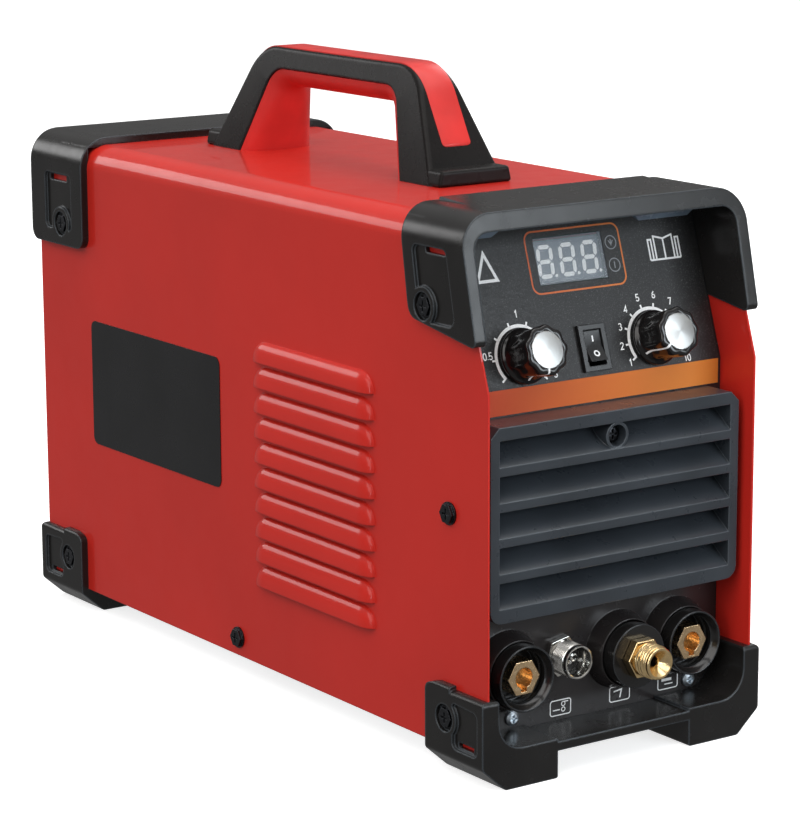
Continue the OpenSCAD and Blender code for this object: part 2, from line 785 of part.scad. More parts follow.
// Welding socket: insulated sleeve, threaded tail through the panel and a clamping nut.
module socket_body(x) {
    tail = 14;
    color([0.08, 0.08, 0.08]) on_front(x, socket_z) difference() {
        union() {
            cylinder(r = sleeve_r, h = sleeve_h);
            translate([0, 0, -tail]) cylinder(r = 12, h = tail + eps);
            translate([0, 0, -panel_t - 6]) cylinder(r = 16, h = 6, $fn = 6);
        }
        translate([0, 0, 4]) cylinder(r = 12.4, h = 20);
        translate([0, 0, -20]) cylinder(r = 5.3, h = 40);
    }
}

// Brass hexagon with the plug's bore and key slot, on a stud that carries the lug behind.
module socket_contact(x) {
    bore_depth = 9.5;
    color("goldenrod") on_front(x, socket_z) difference() {
        union() {
            translate([0, 0, 4]) cylinder(r = 8.6, h = bore_depth, $fn = 6);
            translate([0, 0, -32]) cylinder(r = 5, h = 36.1);
            translate([0, 0, -20]) cylinder(r = 8, h = 6, $fn = 6);
        }
        translate([0, 0, 4]) cylinder(r = socket_bore_r, h = 20);
        translate([-1.6, -6.4, 5]) cube([3.2, 4, 20]);
    }
}

module negative_socket_body() socket_body(-socket_x);
module negative_socket_contact() socket_contact(-socket_x);
module positive_socket_body() socket_body(socket_x);
module positive_socket_contact() socket_contact(socket_x);

module gas_outlet_flange() {
    color([0.08, 0.08, 0.08]) on_front(gas_x, gas_z) difference() {
        cylinder(r = sleeve_r - 0.2, h = sleeve_h);
        translate([0, 0, -1]) cylinder(r = 5.3, h = 30);
    }
}

// Brass gas outlet: stem, hexagon, threaded nipple with a coned mouth.
module gas_outlet_fitting() {
    length = panel_y + reach;
    color("goldenrod") on_front(gas_x, gas_z) difference() {
        union() {
            translate([0, 0, -gas_stem]) cylinder(r = 5, h = gas_stem + sleeve_h + eps);
            translate([0, 0, -panel_t - 5]) cylinder(r = 8.5, h = 5, $fn = 6);
            translate([0, 0, sleeve_h]) cylinder(r = 9.9, h = 5, $fn = 6);
            translate([0, 0, sleeve_h]) cylinder(r = gas_thread_r, h = length - sleeve_h);
        }
        translate([0, 0, -30]) cylinder(r = 2.1, h = 80);
        translate([0, 0, length - 4.5]) cylinder(r1 = 2.1, r2 = 6, h = 4.5 + eps);
    }
}

module torch_switch_shell() {
    color("lightgray") on_front(torch_x, torch_z) difference() {
        union() {
            cylinder(r = 9.8, h = 3, $fn = 6);
            cylinder(r = 8, h = 14.5);
            translate([0, 0, -12]) cylinder(r = 7.5, h = 12 + eps);
            translate([0, 0, -panel_t - 3]) cylinder(r = 10, h = 3, $fn = 6);
        }
        translate([0, 0, -11]) cylinder(r = 6.6, h = 50);
        translate([0, 0, -20]) cylinder(r = 5.5, h = 50);
        translate([0, 5.5, 12]) plate(2, 4, 10);
    }
}

module torch_switch_insert() {
    color("black") on_front(torch_x, torch_z) difference() {
        translate([0, 0, -11]) cylinder(r = 6.55, h = 17);
        for (s = [-1, 1]) translate([s * 3, 0, -20]) cylinder(r = 1.15, h = 40);
    }
}

module torch_switch_pins() {
    color("silver") on_front(torch_x, torch_z) for (s = [-1, 1]) translate([s * 3, 0, 0]) {
        translate([0, 0, -15]) cylinder(r = 1.1, h = 27);
        translate([0, 0, 6]) cylinder(r = 1.8, h = 0.6);
    }
}

// ---------- rear ----------

module fan_frame() {
    color([0.12, 0.12, 0.12]) on_rear(0, fan_z, rear_panel_y - rear_panel_t - fan_depth) {
        difference() {
            union() {
                plate(fan_size, fan_size, 5);
                translate([0, 0, fan_depth - 5]) plate(fan_size, fan_size, 5);
                cylinder(r = fan_size / 2, h = fan_depth);
            }
            translate([0, 0, -1]) cylinder(r = fan_size / 2 - 2.5, h = fan_depth + 2);
            for (a = [45:90:315]) rotate([0, 0, a]) translate([74, 0, -1])
                cylinder(r = 2.1, h = fan_depth + 2);
        }
        cylinder(r = 24, h = 3);
        for (a = [0, 120, 240]) rotate([0, 0, a]) translate([22, -3, 0]) cube([36.5, 6, 3]);
        cylinder(r = 2, h = 20);
    }
}

module fan_rotor() {
    blade_h = 22;
    tip = fan_size / 2 - 4.5;
    color([0.2, 0.2, 0.2]) on_rear(0, fan_z, rear_panel_y - rear_panel_t - fan_depth + 5) {
        difference() {
            union() {
                cylinder(r = 23, h = 28);
                for (i = [0:fan_blades - 1]) rotate([0, 0, i * 360 / fan_blades])
                    translate([tip / 2 + 8, 0, 14]) rotate([38, 0, 0])
                        translate([-tip / 2 + 10, -blade_h / 2 - 4, -1])
                            cube([tip - 18, blade_h + 8, 2]);
            }
            translate([0, 0, -1]) cylinder(r = 2.05, h = 22);
        }
    }
}

// Finger guard: rings and spokes of round wire on four eyes.
module fan_guard() {
    wire = 1;
    color("silver") on_rear(0, fan_z) {
        for (r = [12:11:56]) translate([0, 0, guard_t - wire])
            rotate_extrude() translate([r, 0]) circle(wire, $fn = 16);
        for (a = [45, 135]) rotate([0, 0, a]) {
            translate([0, 0, wire]) rotate([0, 90, 0])
                cylinder(r = wire, h = 142, center = true, $fn = 16);
            for (s = [-1, 1]) translate([s * 74, 0, 0]) tube(5, 2.2, guard_t);
        }
    }
}

module power_switch_frame() {
    color([0.09, 0.09, 0.09]) on_rear(power_switch_pos[0], power_switch_pos[1])
        switch_frame(power_switch_size[0], power_switch_size[1], 18, -1);
}

module power_switch_rocker() {
    color([0.5, 0.05, 0.05]) on_rear(power_switch_pos[0], power_switch_pos[1])
        switch_rocker(power_switch_size[0], power_switch_size[1], -1, rocker_throw / 2);
}

// Cable entry: threaded body through the panel, lock nut, dome nut and seal bore.
module cable_gland() {
    color([0.1, 0.1, 0.1]) on_rear(gland_pos[0], gland_pos[1]) difference() {
        union() {
            translate([0, 0, -12]) cylinder(r = 9, h = 13);
            translate([0, 0, -rear_panel_t - 5]) cylinder(r = 13, h = 5, $fn = 6);
            cylinder(r = 13, h = 5, $fn = 6);
            translate([0, 0, 5 - eps]) cylinder(r = 10.5, h = 4);
            translate([0, 0, 9 - 2 * eps]) cylinder(r = 12.4, h = 8, $fn = 6);
            translate([0, 0, 17 - 3 * eps]) cylinder(r1 = 11, r2 = 8, h = 6);
        }
        translate([0, 0, -20]) cylinder(r = 5.5, h = 60);
    }
}

// Gas inlet: brass stem through the rear panel, a hexagon and a hose barb.
module gas_inlet() {
    length = reach - rear_panel_y;
    color("goldenrod") on_rear(inlet_x, inlet_z) difference() {
        union() {
            translate([0, 0, -rear_panel_t - 4]) cylinder(r = 6, h = rear_panel_t + 4.1);
            cylinder(r = 10, h = 7, $fn = 6);
            cylinder(r = 3.4, h = length - 1);
            for (i = [0:3]) translate([0, 0, length - 6 - i * 5])
                cylinder(r1 = 4.6, r2 = 3.4, h = i == 0 ? 6 : 4);
        }
        translate([0, 0, -20]) cylinder(r = 1.8, h = 80);
    }
}

// ---------- inside ----------

sink_z = 42;
sink_h = 66;
sink_y = 4;
sink_l = 112;
board_z = sink_z + sink_h;

// Two finned heatsinks side by side, backs outwards.
module heatsinks() {
    fins = 9;
    color("lightgray") both_sides() translate([8, sink_y, sink_z]) {
        translate([26, 0, 0]) cube([6, sink_l, sink_h]);
        for (i = [0:fins - 1]) translate([0, 0, i * (sink_h - 2) / (fins - 1)])
            cube([26 + eps, sink_l, 2]);
    }
}

module power_modules() {
    color([0.15, 0.15, 0.15]) both_sides() for (i = [0:3])
        translate([40, sink_y + 8 + i * 26, sink_z + 36]) cube([5, 16, 21]);
}

module power_board() {
    color("darkgreen") translate([-60, -22, board_z]) cube([120, 142, 1.6]);
}

module capacitors() {
    color("steelblue") for (x = [-28, 28], y = [24, 62]) translate([x, y, board_z + 1.6]) {
        cylinder(r = 15, h = 42);
        translate([0, 0, 42 - eps]) cylinder(r = 13.6, h = 1);
    }
}

module control_board() {
    middle_s = 33;
    color("darkgreen") on_panel(0, middle_s, -pot_depth - 1.6) difference() {
        plate(120, 62, 1.6);
        translate([switch_pos[0], switch_pos[1] - middle_s, -1]) plate(16, 22, 4);
    }
}

core_x = 30;
core_y = -86;

// Ferrite core of two E halves, drawn as a frame with its centre leg.
module transformer_core() {
    color([0.2, 0.2, 0.2]) translate([core_x, core_y, tray_top]) difference() {
        translate([-32, -14, 0]) cube([64, 28, 56]);
        for (s = [-1, 1]) translate([s * 16 - 8.5, -20, 10]) cube([17, 40, 36]);
    }
}

module transformer_winding() {
    color("peru") translate([core_x, core_y, tray_top + 11]) difference() {
        intersection() {
            translate([-15.2, -22, 0]) cube([30.4, 44, 34]);
            cylinder(r = 24, h = 34);
        }
        translate([-7.8, -14.3, -1]) cube([15.6, 28.6, 40]);
    }
}

module output_choke() {
    color("peru") translate([-38, -84, tray_top]) tube(26, 12, 34);
}

module hf_coil() {
    color([0.55, 0.25, 0.1]) translate([-38, -128, tray_top]) {
        tube(14, 6, 12);
        translate([0, 0, 12]) tube(11, 6, 30);
        translate([0, 0, 42]) tube(14, 6, 4);
    }
}

valve_y = 150;
valve_z = inlet_z + 10;
valve_travel = 2;
valve_tube_h = 32;
seat_z = inlet_z - 3;
outlet_z = inlet_z - 7;
valve_bore_r = 4.05;
plunger_r = 4;

// Valve block with its inlet and outlet ports, its seat and the closed guide tube.
module gas_valve_body() {
    tube_top = valve_z + valve_tube_h;
    front = valve_y - 14;
    color("goldenrod") difference() {
        union() {
            translate([inlet_x - 12, front, outlet_z - 5])
                cube([24, rear_panel_y - rear_panel_t - 4 - front, valve_z - outlet_z + 5]);
            translate([inlet_x, valve_y, valve_z - eps]) cylinder(r = 5.4, h = valve_tube_h);
        }
        translate([inlet_x, valve_y, seat_z]) cylinder(r = valve_bore_r, h = tube_top - seat_z - 2);
        on_rear(inlet_x, inlet_z, valve_y + 2) cylinder(r = 1.8, h = 30);
        translate([inlet_x, valve_y, outlet_z]) cylinder(r = 1.8, h = 8);
        on_front(inlet_x, outlet_z, valve_y + 1) cylinder(r = 1.6, h = 30);
    }
}

module gas_valve_coil() {
    color([0.12, 0.12, 0.12]) translate([inlet_x, valve_y, valve_z]) difference() {
        plate(24, 24, 26);
        translate([0, 0, -1]) cylinder(r = 5.7, h = 40);
    }
}

module gas_valve_plunger() {
    length = valve_z + valve_tube_h - seat_z - 2 - valve_travel;
    color("silver") translate([inlet_x, valve_y, seat_z])
        cylinder(r = plunger_r, h = length - 0.1);
}

hose_r = 4;

// Quarter bend of a hose in local x and y, from +x towards +y about the bend's own centre.
module hose_bend(r) {
    rotate_extrude(angle = 90) translate([r, 0]) circle(hose_r, $fn = 24);
}

// Hose from the valve, forwards above the board, down and across to the outlet's stem.
module gas_hose() {
    bend = 12;
    start = valve_y - 14;
    turn_y = -132;
    drop_top = outlet_z - bend;
    color("lightyellow") {
        on_front(inlet_x, outlet_z, start) cylinder(r = hose_r, h = start - turn_y - bend, $fn = 24);
        translate([inlet_x, turn_y + bend, outlet_z - bend]) rotate([90, 0, -90])
            hose_bend(bend);
        translate([inlet_x, turn_y, gas_z + bend]) cylinder(r = hose_r, h = drop_top - gas_z - bend,
            $fn = 24);
        translate([inlet_x - bend, turn_y, gas_z + bend]) rotate([-90, 0, 0]) hose_bend(bend);
        translate([gas_x + bend, turn_y, gas_z]) rotate([0, 90, 0])
            cylinder(r = hose_r, h = inlet_x - gas_x - 2 * bend, $fn = 24);
        translate([gas_x + bend, turn_y - bend, gas_z]) rotate([0, 0, 90]) hose_bend(bend);
        on_front(gas_x, gas_z, turn_y - bend)
            cylinder(r = hose_r, h = turn_y - bend - panel_y - gas_stem, $fn = 24);
    }
}

// Copper bars from the socket studs to the power parts.
module busbars() {
    lug_y = panel_y + 20;
    top = 81;
    color("chocolate") both_sides() difference() {
        union() {
            translate([socket_x - 8, lug_y, 38]) cube([16, 3, 22]);
            translate([socket_x - 8, lug_y, 38]) cube([4, 3, top - 38]);
            translate([socket_x - 8, lug_y, top - 9]) cube([4, 92, 9]);
        }
        on_front(socket_x, socket_z, lug_y + 1) cylinder(r = 5.3, h = 10, center = true);
    }
}

base_tray();
shell_cover();
side_labels();
front_panel();
control_overlay();
front_grille();
grille_screw();
front_hood();
front_lower_bumper();
rear_upper_bumper();
rear_lower_bumper();
rear_panel();
case_screws();
panel_screws();
handle_frame();
handle_core();
handle_strip();
handle_screws();
display_lens();
digit_display();
current_knob();
current_knob_cap();
current_pot_shaft();
current_pot();
timer_knob();
timer_knob_cap();
timer_pot_shaft();
timer_pot();
mode_switch_frame();
mode_switch_rocker();
negative_socket_body();
negative_socket_contact();
positive_socket_body();
positive_socket_contact();
gas_outlet_flange();
gas_outlet_fitting();
torch_switch_shell();
torch_switch_insert();
torch_switch_pins();
fan_frame();
fan_rotor();
fan_guard();
heatsinks();
power_modules();
power_board();
capacitors();
control_board();
transformer_core();
transformer_winding();
output_choke();
hf_coil();
gas_valve_body();
gas_valve_coil();
gas_valve_plunger();
gas_hose();
gas_inlet();
power_switch_frame();
power_switch_rocker();
cable_gland();
busbars();
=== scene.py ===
"""Looks of the TIG welder. Lengths are millimetres in the helpers, and metres once in Blender."""

import json
import math

import bmesh
import bpy
from mathutils import Matrix, Vector

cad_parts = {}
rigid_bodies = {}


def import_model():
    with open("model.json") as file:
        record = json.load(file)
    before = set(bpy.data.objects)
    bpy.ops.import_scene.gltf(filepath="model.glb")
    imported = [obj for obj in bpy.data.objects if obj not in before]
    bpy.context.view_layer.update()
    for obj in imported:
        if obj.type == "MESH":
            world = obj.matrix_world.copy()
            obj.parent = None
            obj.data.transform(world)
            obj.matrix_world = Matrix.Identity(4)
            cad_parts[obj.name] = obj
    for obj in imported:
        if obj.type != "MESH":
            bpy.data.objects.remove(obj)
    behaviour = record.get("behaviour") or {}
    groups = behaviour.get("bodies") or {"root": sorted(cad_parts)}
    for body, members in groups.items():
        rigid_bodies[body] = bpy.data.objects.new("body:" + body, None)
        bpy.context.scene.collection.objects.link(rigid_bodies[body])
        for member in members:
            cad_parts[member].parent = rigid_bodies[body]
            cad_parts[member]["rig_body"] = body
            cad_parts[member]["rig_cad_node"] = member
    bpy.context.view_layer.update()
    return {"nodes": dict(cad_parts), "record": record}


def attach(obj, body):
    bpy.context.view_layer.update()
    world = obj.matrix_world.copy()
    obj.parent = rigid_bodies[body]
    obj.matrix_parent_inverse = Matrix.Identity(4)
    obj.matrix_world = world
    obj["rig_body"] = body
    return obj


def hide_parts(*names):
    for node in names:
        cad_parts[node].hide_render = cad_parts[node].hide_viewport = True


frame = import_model()

MM = 0.001
SMOOTH_ANGLE = 32  # degrees; edges sharper than this stay sharp
SLOT_OF = {s["node"]: s["material_slot"] for s in frame["record"]["subparts"]}

# Places repeated from the CAD source
TILT = math.radians(18.2)  # lean of the control panel
PANEL_Y = -174.0  # upright front
REAR_Y = 174.0  # rear panel
KNEE_Z = 172.5  # foot of the control panel
DECK_Z = 248.0  # top of the cover
FILM = 0.4  # thickness of the control film
KNOB_GAP = 1.2  # between the film and a knob
KNOB_TOP = 20.0  # outer face of a knob's disc above the panel

# Centres on the control panel: x, and distance up the panel from its foot
KNOB_X = 37.0
KNOB_S = 12.8
WINDOW = (-0.5, 53.2)
WINDOW_HALF = (19.0, 10.5)
MODE_SWITCH = (2.2, 12.3)

# Centres on the upright front and on the rear panel: x and height
POWER_SWITCH = (-34.0, 205.0)
SOCKET_X = 48.0
SOCKET_Z = 45.0
GAS = (15.0, 44.5)
TORCH = (-18.0, 47.0)

# Heights of printing: on the control film, and on a bare face
FILM_PRINT = (FILM - 0.02, FILM + 0.05)
FACE_PRINT = (0.0, 0.06)


# ---------- camera, first ----------


def make_camera():
    """Camera at the fitted viewing angle and distance, in metres."""
    azimuth, elevation, roll = map(math.radians, (-34.851, 12.064, -0.264))
    distance, target = 1.51536, Vector((0.016755, 0.0, 0.126239))
    back = Vector(
        (
            math.sin(azimuth) * math.cos(elevation),
            -math.cos(azimuth) * math.cos(elevation),
            math.sin(elevation),
        )
    )
    data = bpy.data.cameras.new("camera")
    data.sensor_width = 36.0
    data.lens = 135.46
    camera = bpy.data.objects.new("camera", data)
    bpy.context.scene.collection.objects.link(camera)
    camera.rotation_mode = "QUATERNION"
    camera.location = target + back * distance
    turn = (-back).to_track_quat("-Z", "Y")
    camera.rotation_quaternion = turn @ Matrix.Rotation(roll, 3, "Z").to_quaternion()
    data.clip_start, data.clip_end = 0.05, 60.0
    bpy.context.scene.camera = camera


make_camera()


# ---------- materials ----------


class Surface:
    """A Principled material whose detail comes from noise in object coordinates, in metres."""

    def __init__(self, name, colour, roughness, metallic=0.0, edge=0.0, **constants):
        self.material = bpy.data.materials.new(name)
        self.material.use_nodes = True
        self.nodes = self.material.node_tree.nodes
        self.links = self.material.node_tree.links
        self.shader = self.nodes["Principled BSDF"]
        self.shader.inputs["Base Color"].default_value = (*colour, 1.0)
        self.shader.inputs["Roughness"].default_value = roughness
        self.shader.inputs["Metallic"].default_value = metallic
        for socket, value in constants.items():
            self.shader.inputs[socket.replace("_", " ")].default_value = value
        self.where = self.nodes.new("ShaderNodeTexCoord").outputs["Object"]
        self.last_bump = None
        self.base = None
        if edge:
            self.soften(edge)

    def soften(self, radius_mm):
        """Rounds the look of corners tighter than the moulded radius."""
        node = self.nodes.new("ShaderNodeBevel")
        node.samples = 6
        node.inputs["Radius"].default_value = radius_mm * MM
        self.last_bump = node.outputs["Normal"]
        self.links.new(self.last_bump, self.shader.inputs["Normal"])

    def noise(self, size_mm, detail=2.0, stretch=(1.0, 1.0, 1.0)):
        """Noise whose features are about size_mm across."""
        scaled = self.nodes.new("ShaderNodeMapping")
        scaled.inputs["Scale"].default_value = stretch
        self.links.new(self.where, scaled.inputs["Vector"])
        noise = self.nodes.new("ShaderNodeTexNoise")
        noise.inputs["Scale"].default_value = 1000.0 / size_mm
        noise.inputs["Detail"].default_value = detail
        self.links.new(scaled.outputs["Vector"], noise.inputs["Vector"])
        return noise.outputs[0]

    def spread(self, value, low, high, start=0.35, end=0.65):
        """Maps a value from start..end to low..high."""
        node = self.nodes.new("ShaderNodeMapRange")
        for socket, number in (
            ("From Min", start),
            ("From Max", end),
            ("To Min", low),
            ("To Max", high),
        ):
            node.inputs[socket].default_value = number
        self.links.new(value, node.inputs["Value"])
        return node.outputs[0]

    def tint(self, factor, first, second):
        """Base colour between two colours. None as the first means the colour so far."""
        mix = self.nodes.new("ShaderNodeMix")
        mix.data_type = "RGBA"
        if first is None:
            self.links.new(self.base, mix.inputs[6])
        else:
            mix.inputs[6].default_value = (*first, 1.0)
        mix.inputs[7].default_value = (*second, 1.0)
        self.links.new(factor, mix.inputs[0])
        self.base = mix.outputs[2]
        self.links.new(self.base, self.shader.inputs["Base Color"])
        return self

    def rubbed_edges(self, rounded, colour, amount):
        """Painted highlight: lighter colour where the rounded normal leaves the face's own normal."""
        face = self.nodes.new("ShaderNodeNewGeometry").outputs["Normal"]
        dot = self.nodes.new("ShaderNodeVectorMath")
        dot.operation = "DOT_PRODUCT"
        self.links.new(rounded, dot.inputs[0])
        self.links.new(face, dot.inputs[1])
        return self.tint(self.spread(dot.outputs["Value"], amount, 0.0, 0.80, 0.98), None, colour)

    def rough(self, factor, low, high):
        """Uneven roughness between two values."""
        self.links.new(self.spread(factor, low, high), self.shader.inputs["Roughness"])
        return self

    def bump(self, height, strength, depth_mm):
        """Adds relief; several reliefs add up."""
        node = self.nodes.new("ShaderNodeBump")
        node.inputs["Strength"].default_value = strength
        node.inputs["Distance"].default_value = depth_mm * MM
        self.links.new(height, node.inputs["Height"])
        if self.last_bump is not None:
            self.links.new(self.last_bump, node.inputs["Normal"])
        self.last_bump = node.outputs["Normal"]
        self.links.new(self.last_bump, self.shader.inputs["Normal"])
        return self


def shade(colour, factor):
    """The colour made lighter or darker by a factor."""
    return tuple(c * factor for c in colour)


def enamel(name, colour):
    """Sprayed gloss enamel on sheet: faint orange peel and a clear coat."""
    s = Surface(
        name, colour, 0.42, edge=0.7, Specular_IOR_Level=0.16,
        Coat_Weight=0.55, Coat_Roughness=0.025, Coat_IOR=1.4,
    )
    s.tint(s.spread(s.noise(95, 3), 0, 1), shade(colour, 0.95), shade(colour, 1.04))
    s.rough(s.noise(14, 4), 0.38, 0.46)
    s.bump(s.noise(2.6, 1), 0.05, 0.05)
    s.bump(s.noise(0.35, 2), 0.04, 0.01)
    return s.material


# Pale bluish colour of the highlights painted along the rounded edges of black plastics
EDGE_HIGHLIGHT_COLOUR = (0.11, 0.13, 0.15)


def moulded(name, colour, low, high, grain=0.45, relief=0.25, level=0.4, edge=0.0, rubbed=0.0):
    """Smooth plastic or paint: fine grain, roughness from low to high, and painted highlights along
    rounded edges.
    """
    s = Surface(name, colour, (low + high) / 2, edge=edge, Specular_IOR_Level=level)
    s.tint(s.spread(s.noise(38, 4), 0, 1), shade(colour, 0.86), shade(colour, 1.18))
    # Painted highlight: the colour is lightened along rounded edges as if they caught the light
    if rubbed:
        s.rubbed_edges(s.last_bump, EDGE_HIGHLIGHT_COLOUR, rubbed)
    s.rough(s.noise(9, 5), low, high)
    s.bump(s.noise(grain, 2), relief, 0.01)
    s.bump(s.noise(22, 2), 0.02, 0.08)
    return s.material


def film(name, colour, speck):
    """Printed polyester film: sandy texture with tiny lighter specks."""
    s = Surface(name, colour, 0.42, Specular_IOR_Level=0.32)
    s.tint(s.spread(s.noise(0.5, 3), 0, 1, 0.56, 0.76), colour, speck)
    s.rough(s.noise(1.0, 3), 0.34, 0.50)
    s.bump(s.noise(0.4, 2), 0.35, 0.03)
    return s.material


def machined(name, colour, low, high, axis, line=0.12, relief=0.18, edge=0.0):
    """Metal with fine tool marks across axis 0, 1 or 2, and roughness from low to high."""
    s = Surface(name, colour, (low + high) / 2, 1.0, edge=edge)
    s.tint(s.spread(s.noise(4, 4), 0, 1), shade(colour, 0.84), shade(colour, 1.06))
    s.rough(s.noise(1.6, 4), low, high)
    stretch = tuple(1.0 if i == axis else 0.04 for i in range(3))
    s.bump(s.noise(line, 2, stretch), relief, 0.003)
    return s.material


def spun_aluminium(name):
    """Disc spun to a radial sheen: rings round the piece's own z axis."""
    s = Surface(name, (0.50, 0.50, 0.49), 0.40, 1.0, Anisotropic=0.7)
    tangent = s.nodes.new("ShaderNodeTangent")
    tangent.direction_type = "RADIAL"
    tangent.axis = "Z"
    s.links.new(tangent.outputs["Tangent"], s.shader.inputs["Tangent"])
    parts = s.nodes.new("ShaderNodeSeparateXYZ")
    s.links.new(s.where, parts.inputs[0])
    flat = s.nodes.new("ShaderNodeCombineXYZ")
    s.links.new(parts.outputs[0], flat.inputs[0])
    s.links.new(parts.outputs[1], flat.inputs[1])
    radius = s.nodes.new("ShaderNodeVectorMath")
    radius.operation = "LENGTH"
    s.links.new(flat.outputs[0], radius.inputs[0])
    rings = s.nodes.new("ShaderNodeTexNoise")
    rings.noise_dimensions = "1D"
    rings.inputs["Scale"].default_value = 9000.0  # about nine rings in a millimetre
    s.links.new(radius.outputs["Value"], rings.inputs["W"])
    s.bump(rings.outputs[0], 0.05, 0.004)
    s.rough(s.noise(2.0, 3), 0.38, 0.44)
    return s.material


def ink(name, colour, second=None, painted_glow=0.0):
    """Screen-printed ink; with a second colour it blends from left to right. A glow strength makes it
    glow as painted light.
    """
    s = Surface(name, colour, 0.45, Specular_IOR_Level=0.35)
    if second is None:
        s.tint(s.spread(s.noise(0.7, 3), 0, 1), shade(colour, 0.88), colour)
    else:
        parts = s.nodes.new("ShaderNodeSeparateXYZ")
        s.links.new(s.where, parts.inputs[0])
        left, right = -66 * MM, 66 * MM
        s.tint(s.spread(parts.outputs[0], 0, 1, left, right), colour, second)
    s.rough(s.noise(2.2, 3), 0.38, 0.52)
    s.bump(s.noise(0.3, 1), 0.2, 0.01)
    # Painted light: the ink glows, though nothing lights it
    if painted_glow:
        s.shader.inputs["Emission Color"].default_value = (*colour, 1.0)
        s.shader.inputs["Emission Strength"].default_value = painted_glow
    return s.material


def clear_window(name):
    """Slightly smoked display window."""
    s = Surface(name, (0.50, 0.56, 0.62), 0.16, Alpha=0.26, Specular_IOR_Level=0.6)
    s.rough(s.noise(6, 3), 0.12, 0.20)
    s.bump(s.noise(0.9, 2), 0.08, 0.01)
    return s.material


def circuit(name):
    """Solder-masked board with tracks and pads."""
    mask, copper = (0.02, 0.16, 0.07), (0.55, 0.52, 0.42)
    s = Surface(name, mask, 0.32)
    cells = s.nodes.new("ShaderNodeTexVoronoi")
    cells.distance = "MANHATTAN"
    cells.inputs["Scale"].default_value = 160.0
    s.links.new(s.where, cells.inputs["Vector"])
    s.tint(s.spread(cells.outputs[0], 0, 1, 0.10, 0.16), copper, mask)
    s.rough(s.noise(3, 3), 0.25, 0.42)
    s.bump(cells.outputs[0], 0.3, 0.05)
    return s.material


def winding(name):
    """Enamelled copper wire laid side by side, with painted shade in the grooves between turns."""
    s = Surface(name, (0.62, 0.25, 0.10), 0.28, 0.9)
    bands = s.nodes.new("ShaderNodeTexWave")
    bands.bands_direction = "Z"
    bands.inputs["Scale"].default_value = 180.0
    bands.inputs["Distortion"].default_value = 0.3
    s.links.new(s.where, bands.inputs["Vector"])
    # Painted shade: darker copper in the grooves between the turns of wire
    s.tint(bands.outputs["Fac"], (0.28, 0.09, 0.03), (0.68, 0.29, 0.12))
    s.rough(s.noise(3, 3), 0.24, 0.36)
    s.bump(bands.outputs["Fac"], 0.7, 0.5)
    return s.material


BLACK = (0.0125, 0.0118, 0.0118)
